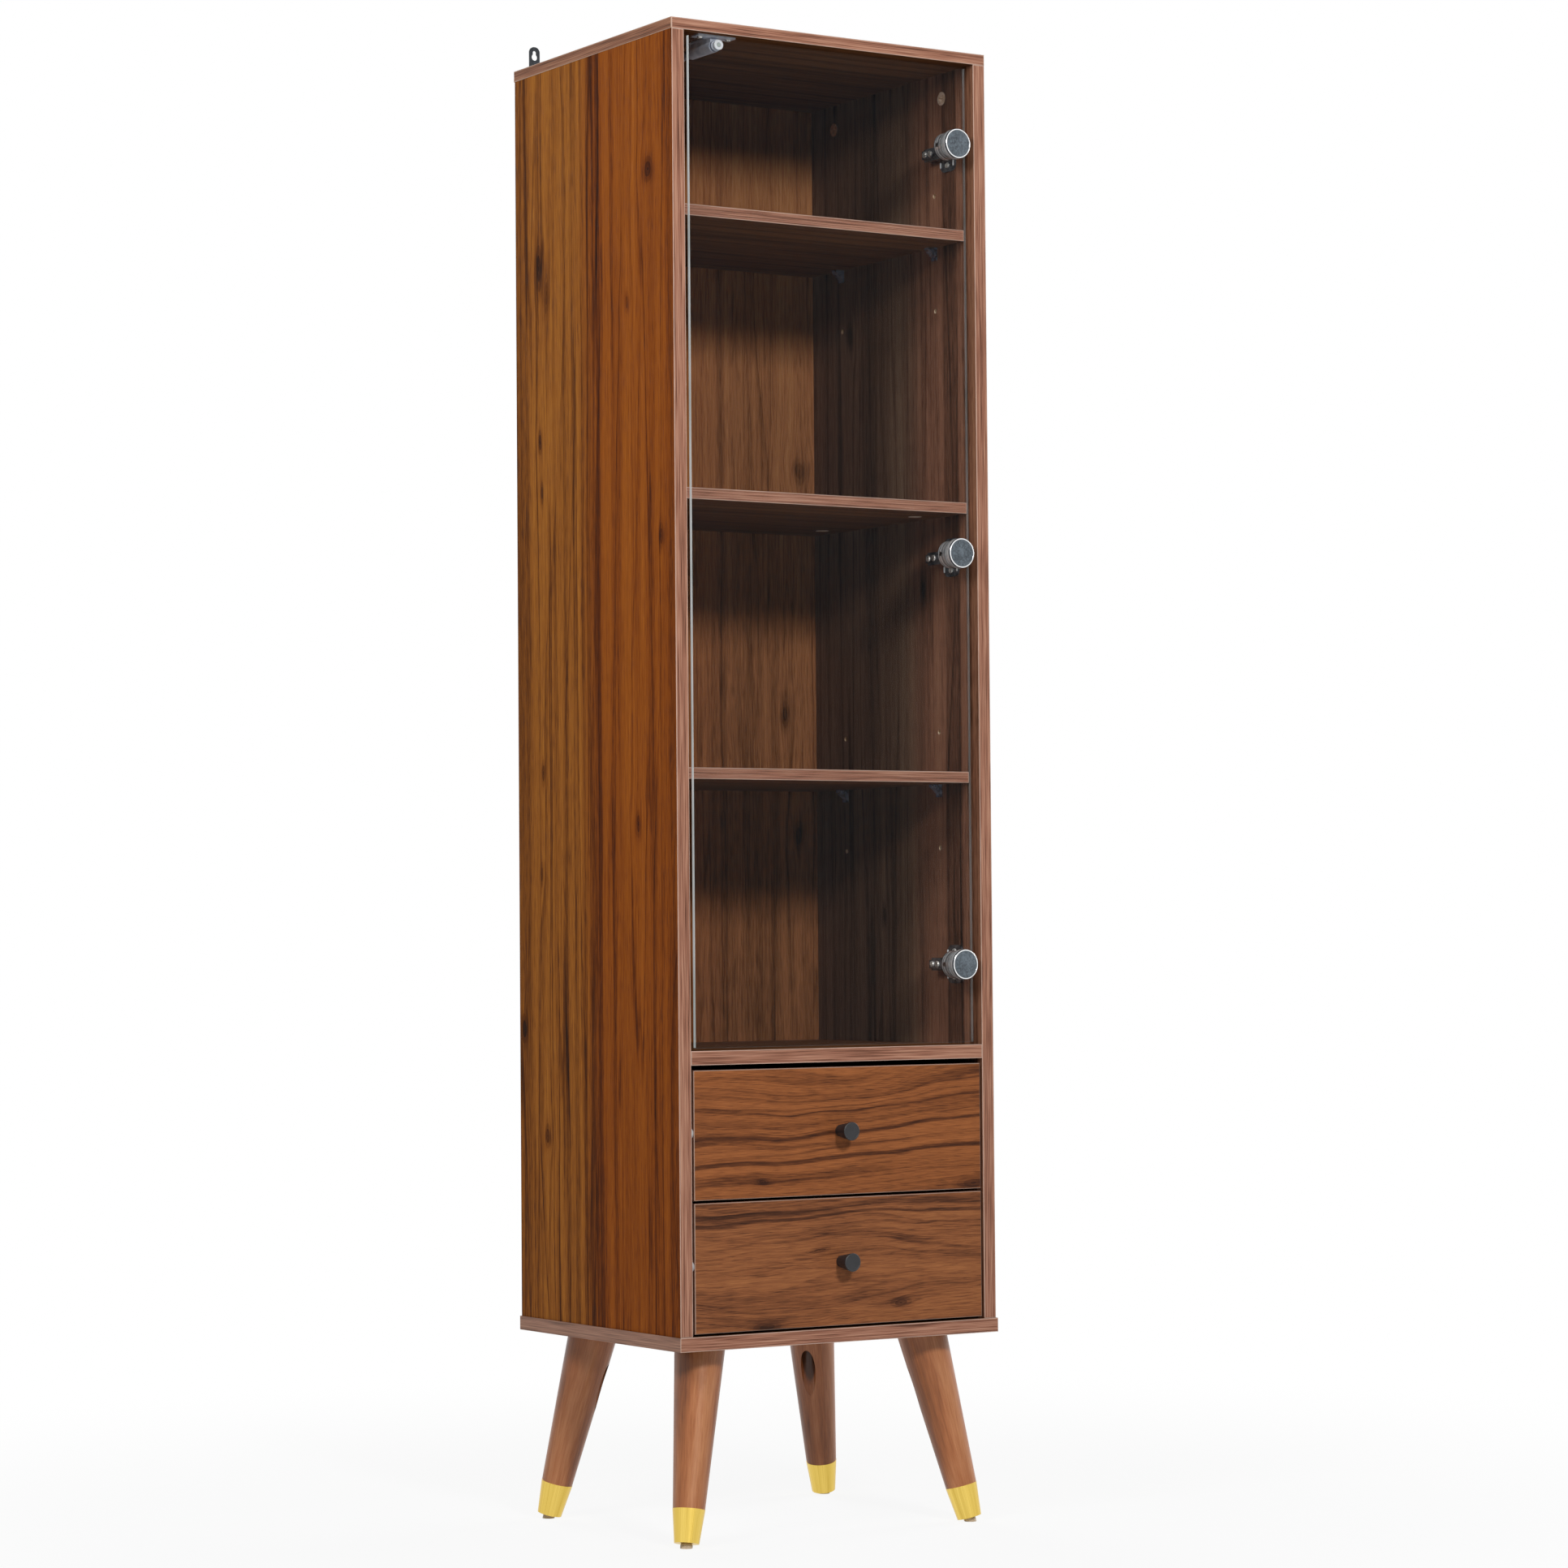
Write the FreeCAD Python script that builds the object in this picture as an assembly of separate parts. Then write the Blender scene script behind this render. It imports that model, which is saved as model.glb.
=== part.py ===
"""Tall glass display cabinet with two drawers, on four splayed legs.

All sizes are in millimetres. X runs across the cabinet, Y from its front to its back and
Z up from the floor. While the pieces are made, y = 0 is the front of the carcass. Each
piece is then moved so that the origin is the middle of the whole footprint.
"""
import FreeCAD, Part
import math
import os

V = FreeCAD.Vector
X, Y, Z = V(1, 0, 0), V(0, 1, 0), V(0, 0, 1)
SIDES = {"left": -1, "right": 1}

# Carcass
width = 400.0
depth = 340.0
carcass_height = 1396.0
side_thickness = 15.0
bottom_thickness = 15.0
divider_thickness = 15.0
top_thickness = 12.0
shelf_thickness = 12.0
back_thickness = 3.0
back_inset = 11.0
side_setback = 1.5
bottom_overhang_side = 1.5
bottom_overhang_front = 2.0
groove_depth = 6.0
groove_clearance = 0.15

# Clear heights of the bays, from the bottom up; the top bay takes what is left
drawer_bay = 282.0
lower_bay = 285.0
middle_bay = 283.0
upper_bay = 288.0

# Shelves and their supports
shelf_end_clearance = 0.5
shelf_back_clearance = 1.0
shelf_swing_clearance = 1.6
pin_row_inset = 76.0
pin_pitch = 64.0
pin_radius = 2.5
pin_depth = 8.0
pin_drop = 6.0
pin_clearance = 0.05
support_ledge = 11.0
support_wall = 2.2
support_ledge_thickness = 2.5
support_height = 14.0
support_rib = 10.5
support_width = 9.0

# Cam locks and their bolts
cam_radius = 7.5
cam_skin = 3.0
cam_clearance = 0.05
cam_row_inset = 61.0
cam_edge_distance = 27.5
cam_shelf_distance = 30.0
cam_slot_width = 2.0
cam_slot_length = 9.0
cam_slot_depth = 2.5
cam_bolt_radius = 3.0
cam_bolt_bite = 9.0

# Glass door
glass_thickness = 4.0
door_recess = 2.0
door_gap_left = 6.5
door_gap_right = 9.5
door_gap_top = 4.5
door_gap_bottom = 2.5
glass_edge_chamfer = 0.6

# Hinges, one per height
hinge_top_drop = 90.0
hinge_middle_drop = 46.0
hinge_bottom_rise = 87.0
cap_radius = 16.5
cap_thickness = 8.0
cap_rounding = 2.6
cap_spigot_radius = 4.0
cap_spigot_length = 3.4
cup_radius = 15.0
cup_depth = 15.0
cup_chamfer = 1.6
glass_hole_radius = 10.0
boss_clearance = 0.3
swing_clearance = 0.5
pin_from_cap = 6.2
hinge_pin_radius = 1.5
hinge_pin_half = 11.0
eye_radius = 3.0
eye_clearance = 0.4
eye_fit = 0.05
pin_press_fit = 0.01
slot_margin = 2.0
arm_half_width = 4.7
arm_side_clearance = 0.5
arm_thickness = 3.0
arm_from_pin = 0.2
arm_straight = 20.6
arm_crank = 8.0
arm_tail = 40.0
arm_stand = 12.0
arm_screw_end = 2.5
arm_screw_pitch = 10.0
wing_half_height = 21.0
wing_width = 28.0
wing_thickness = 2.0
wing_rounding = 8.0
wing_screw_height = 14.0
channel_half_width = 7.0
channel_wall = 1.5
channel_roof = 2.0
grub_radius = 2.5
grub_length = 5.0

# Touch latch
latch_inset = 47.0
latch_drop = 10.6
latch_radius = 5.0
latch_length = 76.0
latch_front_gap = 5.0
latch_collar_radius = 6.0
latch_collar = 3.0
latch_chamfer = 1.2
plunger_radius = 3.8
plunger_length = 32.0
plunger_fit = 0.06
plunger_travel = 4.0
plunger_tip_gap = 0.3
plunger_bevel = 1.2
strike_radius = 5.4
strike_thickness = 1.0
cradle_wall = 1.4
cradle_length = 46.0
cradle_plate = 2.0
cradle_wing = 23.0
cradle_front_gap = 3.5
cradle_wing_width = 14.0
cradle_screw_offset = 17.5
cradle_fit = 0.05

# Drawers
drawer_gap_side = 3.0
drawer_gap_bottom = 2.5
drawer_gap_between = 3.0
drawer_gap_top = 5.4
drawer_front_thickness = 15.0
drawer_side_thickness = 12.0
drawer_side_height = 100.0
drawer_side_rise = 12.0
drawer_box_length = 270.0
drawer_bottom_thickness = 3.0
drawer_bottom_rise = 10.0
drawer_rounding = 1.0
knob_length = 23.0
knob_base_radius = 6.3
knob_face_radius = 10.0
knob_rounding = 1.4
knob_screw_radius = 2.0
knob_screw_head = 4.0
knob_screw_bite = 10.0
bumper_radius = 5.2
bumper_gap = 1.0
bumper_inset = 0.2
bumper_rise = 2.4

# Drawer runners
runner_gap = 13.0
runner_sheet = 1.2
runner_half_height = 15.0
runner_channel_width = 10.5
runner_return = 4.0
runner_fit = 0.08
runner_length = 280.0
runner_front = 20.0
slide_length = 255.0
slide_half_height = 8.6
slide_brim_stand = 2.5
runner_screw_front = 30.0
runner_screw_back = 40.0

# Legs
leg_height = 206.0
leg_inset_x = 58.7
leg_inset_y = 58.1
leg_splay_x = 39.2
leg_splay_y = 34.3
leg_top_radius = 27.0
leg_low_radius = 17.0
ferrule_length = 35.5
ferrule_proud = 0.3
ferrule_foot_radius = 13.25
ferrule_wall = 1.0
ferrule_fit = 0.05
glide_radius = 6.5
glide_height = 4.7
glide_bevel = 1.2
leg_bolt_offset = 8.2
leg_bolt_seat = 18.0
leg_bolt_radius = 4.0
leg_bolt_bite = 12.0
leg_bolt_head_radius = 6.5
leg_bolt_head = 5.0
leg_bolt_head_bevel = 1.3
leg_bolt_clearance = 0.05
leg_pocket_radius = 8.3
leg_pocket_length = 78.0

# Wall brackets
bracket_inset = 25.5
bracket_width = 13.0
bracket_height = 30.0
bracket_margin = 2.0
bracket_screw_pitch = 9.0
bracket_sheet = 1.5
bracket_rounding = 6.0
keyhole_radius = 3.7
keyhole_height = 18.5
keyhole_slot = 2.3
keyhole_rise = 5.0

# Screws
wood_screw_shank = 1.6
wood_screw_head = 3.2
screw_head_height = 1.8
screw_head_bevel = 1.0
wood_screw_bite = 9.0
arm_screw_shank = 2.0
arm_screw_head = 3.5
arm_screw_bite = 1.5
screw_clearance = 0.05

# Places worked out from the sizes above
inner_x = width / 2 - side_thickness
z_bay = leg_height + bottom_thickness
z_divider = z_bay + drawer_bay
z_display = z_divider + divider_thickness
z_shelf_lower = z_display + lower_bay
z_shelf_middle = z_shelf_lower + shelf_thickness + middle_bay
z_shelf_upper = z_shelf_middle + shelf_thickness + upper_bay
z_top = leg_height + carcass_height
z_top_under = z_top - top_thickness
y_back = depth - back_inset - back_thickness
y_centre = (depth - knob_length) / 2
pin_rows = (pin_row_inset, depth - pin_row_inset)
cam_rows = (cam_row_inset, depth - cam_row_inset)
pin_z = (z_shelf_lower - pin_drop, z_shelf_upper - pin_drop)

# Door and hinge places
glass_front = door_recess
glass_back = door_recess + glass_thickness
door_left = -inner_x + door_gap_left
door_right = inner_x - door_gap_right
door_low = z_display + door_gap_bottom
door_high = z_top_under - door_gap_top
pin_y = glass_back + eye_clearance + eye_radius
cap_reach = pin_y - glass_front + cap_thickness
cap_corner = math.hypot(cap_radius - pin_from_cap - cap_rounding, cap_reach - cap_rounding)
pin_x = inner_x - cap_corner - cap_rounding - swing_clearance
cap_x = pin_x - pin_from_cap
shelf_recess = pin_y + (door_right - pin_x) + shelf_swing_clearance
hinge_heights = {
    "top": z_top_under - hinge_top_drop,
    "middle": z_shelf_middle - hinge_middle_drop,
    "bottom": z_display + hinge_bottom_rise,
}
arm_start_x = pin_x - arm_from_pin - arm_thickness / 2
arm_tail_x = inner_x - arm_stand - arm_thickness / 2
arm_tail_start = pin_y + arm_straight + arm_crank
arm_end = arm_tail_start + arm_tail
wing_y = arm_tail_start + wing_width / 3
latch_x = -inner_x + latch_inset
latch_z = z_top_under - latch_drop
latch_front = glass_back + strike_thickness + latch_front_gap
plunger_tip = glass_back + strike_thickness + plunger_tip_gap
cradle_front = glass_back + cradle_front_gap

# Wall bracket screws stand just in front of the back panel's groove
bracket_screw_back = y_back - groove_clearance - wood_screw_head - bracket_margin
bracket_screw_front = bracket_screw_back - bracket_screw_pitch
bracket_front = bracket_screw_front - wood_screw_head - bracket_margin

# Middles of the leg tops and of the feet, from the middle of the carcass
leg_top_x = width / 2 - leg_inset_x
leg_top_y = depth / 2 - leg_inset_y
leg_foot_x = leg_top_x + leg_splay_x
leg_foot_y = leg_top_y + leg_splay_y

# Drawer and runner places
front_half = inner_x - drawer_gap_side
front_height = (drawer_bay - drawer_gap_bottom - drawer_gap_between - drawer_gap_top) / 2
drawer_levels = {
    "lower": z_bay + drawer_gap_bottom,
    "upper": z_bay + drawer_gap_bottom + front_height + drawer_gap_between,
}
box_half = inner_x - runner_gap
box_back = drawer_front_thickness + drawer_box_length

pieces = {}


def block(x0, x1, y0, y1, z0, z1):
    """Box between two corners, given in any order along each axis."""
    low = V(min(x0, x1), min(y0, y1), min(z0, z1))
    return Part.makeBox(abs(x1 - x0), abs(y1 - y0), abs(z1 - z0), low)


def rod(radius, start, end):
    """Round bar between two points."""
    return Part.makeCylinder(radius, (end - start).Length, start, end - start)


def turned(outline, start, way):
    """Solid of revolution from (radius, distance along way) pairs."""
    corners = [V(radius, 0, distance) for radius, distance in outline]
    solid = Part.Face(Part.makePolygon(corners + corners[:1])).revolve(V(), Z, 360)
    solid.Placement = FreeCAD.Placement(start, FreeCAD.Rotation(Z, way))
    return solid


def extruded(outline, origin, across, up, along):
    """Prism of a flat outline of (across, up) pairs, drawn out along a vector."""
    corners = [origin + across * a + up * b for a, b in outline]
    return Part.Face(Part.makePolygon(corners + corners[:1])).extrude(along)


def strip(path, thickness):
    """Outline of a bent sheet of even thickness about a path of (a, b) points."""
    points = [V(a, b, 0) for a, b in path]
    runs = [(end - start).normalize() for start, end in zip(points, points[1:])]
    sides = []
    for i, point in enumerate(points):
        before = Z.cross(runs[max(i - 1, 0)])
        after = Z.cross(runs[min(i, len(runs) - 1)])
        mitre = (before + after).normalize()
        sides.append((point, mitre * (thickness / 2 / mitre.dot(after))))
    outer = [point + offset for point, offset in sides]
    inner = [point - offset for point, offset in reversed(sides)]
    return [(corner.x, corner.y) for corner in outer + inner]


def rounded(solid, radius, chosen):
    """Fillet on the edges that the test picks."""
    return solid.makeFillet(radius, [edge for edge in solid.Edges if chosen(edge)])


def runs_along(edge, axis):
    """True for a straight edge that lies along an axis."""
    ends = [vertex.Point for vertex in edge.Vertexes]
    return len(ends) == 2 and (ends[1] - ends[0]).cross(axis).Length < 1e-6


def round_edge_at(edge, axis, place):
    """True for a full circle whose centre lies at a place along an axis."""
    if not isinstance(edge.Curve, Part.Circle):
        return False
    return abs(edge.Curve.Center.dot(axis) - place) < 1e-6


def drilled(solid, tools):
    """Solid less each tool that reaches it."""
    near = [tool for tool in tools if tool.BoundBox.intersect(solid.BoundBox)]
    return solid.cut(near) if near else solid


def add(name, *solids):
    """Keep one node: a single piece, or a group of like pieces."""
    pieces[name] = solids[0] if len(solids) == 1 else Part.makeCompound(list(solids))


class Screw:
    """Round-headed screw, from its seat under the head along way."""

    def __init__(self, seat, way, length, shank, head):
        self.seat = seat
        self.way = way
        self.length = length
        self.shank = shank
        self.head = head

    def solid(self):
        """Raised head and plain shank."""
        rise = -screw_head_height
        outline = [(0, rise), (self.head - screw_head_bevel, rise), (self.head, 0), (self.shank, 0)]
        outline += [(self.shank, self.length), (0, self.length)]
        return turned(outline, self.seat, self.way)

    def hole(self):
        """Drilling that takes the shank."""
        end = self.seat + self.way * (self.length + screw_clearance)
        return rod(self.shank + screw_clearance, self.seat, end)


class CamJoint:
    """Cam lock in a board's face and the bolt that it pulls through the board's edge."""

    def __init__(self, centre, face, edge, reach, board):
        self.centre = centre
        self.face = face
        self.edge = edge
        self.inside = centre - face * (board - cam_skin)
        self.middle = centre - face * (board / 2)
        self.reach = reach

    def cam(self):
        """Disc with a crossed slot for the driver."""
        disc = rod(cam_radius, self.inside, self.centre)
        across = self.face.cross(self.edge)
        half, length = cam_slot_width / 2, cam_slot_length / 2
        cross = [(half, half), (half, length), (-half, length), (-half, half)]
        cross += [(-length, half), (-length, -half), (-half, -half), (-half, -length)]
        cross += [(half, -length), (half, -half), (length, -half), (length, half)]
        slot = extruded(cross, self.centre, self.edge, across, self.face * -cam_slot_depth)
        return disc.cut(slot)

    def bolt(self):
        """Bolt from the cam's rim to its bite in the next board."""
        start = self.middle + self.edge * (cam_radius + cam_clearance)
        return rod(cam_bolt_radius, start, self.middle + self.edge * (self.reach + cam_bolt_bite))

    def drillings(self):
        """Pocket for the cam and bore for the bolt."""
        bore_radius = cam_bolt_radius + cam_clearance
        bore_end = self.reach + cam_bolt_bite + cam_clearance
        pocket = rod(cam_radius + cam_clearance, self.inside - self.face * cam_clearance, self.centre)
        bore = rod(bore_radius, self.middle, self.middle + self.edge * bore_end)
        return [pocket, bore]


def cam_joints():
    """Every cam joint of the carcass."""
    joints = []
    for side in SIDES.values():
        for y in cam_rows:
            top = V(side * inner_x, y, z_top_under - cam_edge_distance)
            low = V(side * inner_x, y, z_bay + cam_edge_distance)
            joints.append(CamJoint(top, X * -side, Z, cam_edge_distance, side_thickness))
            joints.append(CamJoint(low, X * -side, Z * -1, cam_edge_distance, side_thickness))
        for y in pin_rows:
            shelf = V(side * (inner_x - cam_shelf_distance), y, z_shelf_middle)
            divider = V(shelf.x, y, z_divider)
            joints.append(CamJoint(shelf, Z * -1, X * side, cam_shelf_distance, shelf_thickness))
            joints.append(CamJoint(divider, Z * -1, X * side, cam_shelf_distance, divider_thickness))
    return joints


def pin_holes():
    """Columns of blind holes that the shelf supports plug into."""
    radius = pin_radius + pin_clearance
    holes = []
    for side in SIDES.values():
        for y in pin_rows:
            for level in pin_z:
                for step in (-1, 0, 1):
                    mouth = V(side * inner_x, y, level + step * pin_pitch)
                    holes.append(rod(radius, mouth, mouth + X * (side * (pin_depth + pin_clearance))))
    return holes


def hinge_plate_screws():
    """Two wood screws through the wings of each hinge plate."""
    length = wing_thickness + wood_screw_bite
    seats = []
    for z in hinge_heights.values():
        for way in (-1, 1):
            seat = V(inner_x - wing_thickness, wing_y, z + way * wing_screw_height)
            seats.append(Screw(seat, X, length, wood_screw_shank, wood_screw_head))
    return seats


def arm_screws():
    """Two machine screws that hold each hinge arm on its plate."""
    length = arm_thickness + arm_screw_bite
    seats = []
    for z in hinge_heights.values():
        for row in (arm_screw_end, arm_screw_end + arm_screw_pitch):
            seat = V(arm_tail_x - arm_thickness / 2, arm_end - row - arm_screw_head, z)
            seats.append(Screw(seat, X, length, arm_screw_shank, arm_screw_head))
    return seats


def latch_screws():
    """Two wood screws through the wings of the latch cradle."""
    length = cradle_plate + wood_screw_bite
    y = cradle_front + cradle_wing_width / 2
    seats = []
    for way in (-1, 1):
        seat = V(latch_x + way * cradle_screw_offset, y, z_top_under - cradle_plate)
        seats.append(Screw(seat, Z, length, wood_screw_shank, wood_screw_head))
    return seats


def bracket_screws():
    """Two wood screws down through the foot of each wall bracket."""
    length = bracket_sheet + wood_screw_bite
    seats = []
    for side in SIDES.values():
        for y in (bracket_screw_front, bracket_screw_back):
            seat = V(side * (width / 2 - bracket_inset), y, z_top + bracket_sheet)
            seats.append(Screw(seat, Z * -1, length, wood_screw_shank, wood_screw_head))
    return seats


def runner_height(level):
    """Height of a drawer's runners over its front's lower edge."""
    return level + drawer_side_rise + drawer_side_height / 2


def runner_screws():
    """Two wood screws through the web of each runner channel."""
    length = runner_sheet + wood_screw_bite
    rows = (runner_front + runner_screw_front, runner_front + runner_length - runner_screw_back)
    seats = []
    for level in drawer_levels.values():
        for side in SIDES.values():
            for y in rows:
                seat = V(side * (inner_x - runner_sheet), y, runner_height(level))
                seats.append(Screw(seat, X * side, length, wood_screw_shank, wood_screw_head))
    return seats


def leg_corners():
    """Name and signs of each corner."""
    return [(f"{end}_{name}", side, way)
            for end, way in (("front", -1), ("back", 1)) for name, side in SIDES.items()]


def leg_axis(side, way):
    """Middle of a leg's top under the carcass, and the unit vector down its axis."""
    top = V(side * leg_top_x, depth / 2 + way * leg_top_y, leg_height)
    foot = V(side * leg_foot_x, depth / 2 + way * leg_foot_y, 0)
    return top, (foot - top).normalize(), (foot - top).Length


def leg_bolt_place(side, way):
    """Point under the bottom panel where a leg's bolt goes in."""
    top, axis, _ = leg_axis(side, way)
    inward = V(-axis.x, -axis.y, 0).normalize()
    return top + inward * leg_bolt_offset


def leg_bolt(side, way):
    """Bolt with a round head, from its seat in the leg up into the bottom panel."""
    seat = leg_bolt_place(side, way) - Z * leg_bolt_seat
    outline = [(0, -leg_bolt_head), (leg_bolt_head_radius - leg_bolt_head_bevel, -leg_bolt_head)]
    outline += [(leg_bolt_head_radius, 0), (leg_bolt_radius, 0)]
    outline += [(leg_bolt_radius, leg_bolt_seat + leg_bolt_bite), (0, leg_bolt_seat + leg_bolt_bite)]
    return turned(outline, seat, Z)


def leg_bolt_drilling(side, way):
    """Bore for a leg's bolt, through the leg and into the bottom panel."""
    place = leg_bolt_place(side, way)
    start, end = place - Z * leg_bolt_seat, place + Z * (leg_bolt_bite + leg_bolt_clearance)
    return rod(leg_bolt_radius + leg_bolt_clearance, start, end)


def back_groove():
    """Groove that holds the back panel in the boards round it."""
    reach = inner_x + groove_depth
    front, behind = y_back - groove_clearance, y_back + back_thickness + groove_clearance
    return block(-reach, reach, front, behind, z_bay - groove_depth, z_top_under + groove_depth)


def make_carcass():
    """Boards of the case, drilled for what they carry."""
    joints = cam_joints()
    drillings = [tool for joint in joints for tool in joint.drillings()] + pin_holes()
    screws = hinge_plate_screws() + latch_screws() + bracket_screws() + runner_screws()
    drillings += [screw.hole() for screw in screws]
    drillings += [leg_bolt_drilling(side, way) for _, side, way in leg_corners()]
    drillings.append(back_groove())

    half = width / 2
    foot_half = half + bottom_overhang_side
    boards = {
        "top_panel": block(-half, half, 0, depth, z_top_under, z_top),
        "bottom_panel": block(-foot_half, foot_half, -bottom_overhang_front, depth, leg_height, z_bay),
    }
    for name, side in SIDES.items():
        end = depth - side_setback
        boards[f"side_panel_{name}"] = block(side * inner_x, side * half, 0, end, z_bay, z_top_under)
    shelf_back = y_back - shelf_back_clearance
    boards["divider_panel"] = block(-inner_x, inner_x, 0, shelf_back, z_divider, z_display)
    z_high = z_shelf_middle + shelf_thickness
    boards["shelf_middle"] = block(-inner_x, inner_x, shelf_recess, shelf_back, z_shelf_middle, z_high)
    for name, board in boards.items():
        add(name, drilled(board, drillings))

    reach = inner_x + groove_depth - groove_clearance
    low, high = z_bay - groove_depth + groove_clearance, z_top_under + groove_depth - groove_clearance
    add("back_panel", block(-reach, reach, y_back, y_back + back_thickness, low, high))
    add("cam_locks", *[joint.cam() for joint in joints])
    add("cam_bolts", *[joint.bolt() for joint in joints])
    add("wood_screws", *[screw.solid() for screw in screws])


def shelf_support(side, y, z):
    """Clear support: a pin in the side panel and a ribbed ledge under the shelf."""
    outline = [(0, 0), (support_ledge, 0), (support_ledge, -support_ledge_thickness)]
    outline += [(support_wall, -support_rib), (support_wall, -support_height)]
    outline.append((0, -support_height))
    start = V(side * inner_x, y - support_width / 2, z)
    ledge = extruded(outline, start, X * -side, Z, Y * support_width)
    root = V(side * inner_x, y, z - pin_drop)
    return ledge.fuse(rod(pin_radius, root, root + X * (side * pin_depth))).removeSplitter()


def make_loose_shelves():
    """Upper and lower shelf on their supports."""
    half = inner_x - shelf_end_clearance
    supports = []
    for name, z in (("shelf_upper", z_shelf_upper), ("shelf_lower", z_shelf_lower)):
        add(name, block(-half, half, shelf_recess, y_back - shelf_back_clearance, z, z + shelf_thickness))
        supports += [shelf_support(side, y, z) for side in SIDES.values() for y in pin_rows]
    add("shelf_supports", *supports)


def make_door():
    """Glass pane with a hole for each hinge."""
    pane = block(door_left, door_right, glass_front, glass_back, door_low, door_high)
    pane = pane.makeChamfer(glass_edge_chamfer, pane.Edges)
    holes = [rod(glass_hole_radius, V(cap_x, glass_front, z), V(cap_x, glass_back, z))
             for z in hinge_heights.values()]
    add("glass_door", pane.cut(holes))
    centre = V(latch_x, glass_back, latch_z)
    add("latch_strike", rod(strike_radius, centre, centre + Y * strike_thickness))


def hinge_cap(z):
    """Round cap in front of the glass, with a spigot that centres it in the cup's boss."""
    cap = rod(cap_radius, V(cap_x, glass_front, z), V(cap_x, glass_front - cap_thickness, z))
    cap = rounded(cap, cap_rounding, lambda edge: round_edge_at(edge, Y, glass_front - cap_thickness))
    spigot_end = V(cap_x, glass_front + cap_spigot_length, z)
    return cap.fuse(rod(cap_spigot_radius, V(cap_x, glass_front, z), spigot_end))


def hinge_cup(z):
    """Cup behind the glass, slotted for the arm, with cheeks that hold the pin."""
    behind = glass_back + cup_depth
    cup = rod(cup_radius, V(cap_x, glass_back, z), V(cap_x, behind, z))
    cup = cup.makeChamfer(cup_chamfer, [edge for edge in cup.Edges if round_edge_at(edge, Y, behind)])
    boss_radius = glass_hole_radius - boss_clearance
    cup = cup.fuse(rod(boss_radius, V(cap_x, glass_front, z), V(cap_x, glass_back, z)))
    spigot_hole = rod(cap_spigot_radius + pin_press_fit, V(cap_x, glass_front, z),
                      V(cap_x, glass_front + cap_spigot_length + pin_press_fit, z))
    reach = arm_half_width + arm_side_clearance
    slot_left = pin_x - eye_radius - slot_margin
    slot = block(slot_left, cap_x + cup_radius, glass_back, behind, z - reach, z + reach)
    pin_hole = rod(hinge_pin_radius + pin_press_fit,
                   V(pin_x, pin_y, z - cup_radius), V(pin_x, pin_y, z + cup_radius))
    return cup.cut([spigot_hole, slot, pin_hole, grub_screw(z, screw_clearance)])


def grub_screw(z, clearance=0.0):
    """Grub screw in the far side of the cup, or with a clearance the hole for it."""
    mouth = V(cap_x - cup_radius, glass_back + cup_depth / 2, z)
    return rod(grub_radius + clearance, mouth, mouth + X * (grub_length + clearance))


def hinge_arm(z):
    """Cranked arm from the eye round the pin to the tail on the plate."""
    path = [(arm_start_x, pin_y), (arm_start_x, pin_y + arm_straight)]
    path += [(arm_tail_x, arm_tail_start), (arm_tail_x, arm_end)]
    low, high = z - arm_half_width, z + arm_half_width
    arm = extruded(strip(path, arm_thickness), V(0, 0, low), X, Y, Z * (high - low))
    arm = arm.fuse(rod(eye_radius, V(pin_x, pin_y, low), V(pin_x, pin_y, high))).removeSplitter()
    bore = rod(hinge_pin_radius + eye_fit, V(pin_x, pin_y, low), V(pin_x, pin_y, high))
    return drilled(arm, [bore] + [screw.hole() for screw in arm_screws()])


def hinge_plate(z):
    """Winged plate on the side panel, with a channel that carries the arm's tail."""
    face = inner_x - wing_thickness
    wings = block(face, inner_x, wing_y - wing_width / 2, wing_y + wing_width / 2,
                  z - wing_half_height, z + wing_half_height)
    wings = rounded(wings, wing_rounding, lambda edge: runs_along(edge, X))
    roof = inner_x - arm_stand
    front = arm_tail_start
    channel = block(roof, inner_x, front, arm_end, z - channel_half_width, z + channel_half_width)
    hollow = channel_half_width - channel_wall
    channel = channel.cut(block(roof + channel_roof, inner_x, front, arm_end, z - hollow, z + hollow))
    plate = wings.fuse(channel).removeSplitter()
    screws = hinge_plate_screws() + arm_screws()
    return drilled(plate, [screw.hole() for screw in screws])


def make_hinges():
    """Three hinges, each in its own pieces, and their small hardware in groups."""
    for name, z in hinge_heights.items():
        add(f"hinge_cap_{name}", hinge_cap(z))
        add(f"hinge_cup_{name}", hinge_cup(z))
        add(f"hinge_arm_{name}", hinge_arm(z))
        add(f"hinge_plate_{name}", hinge_plate(z))
    levels = hinge_heights.values()
    ends = [(V(pin_x, pin_y, z - hinge_pin_half), V(pin_x, pin_y, z + hinge_pin_half)) for z in levels]
    add("hinge_pins", *[rod(hinge_pin_radius, start, end) for start, end in ends])
    add("hinge_grub_screws", *[grub_screw(z) for z in levels])
    add("hinge_arm_screws", *[screw.solid() for screw in arm_screws()])


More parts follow.
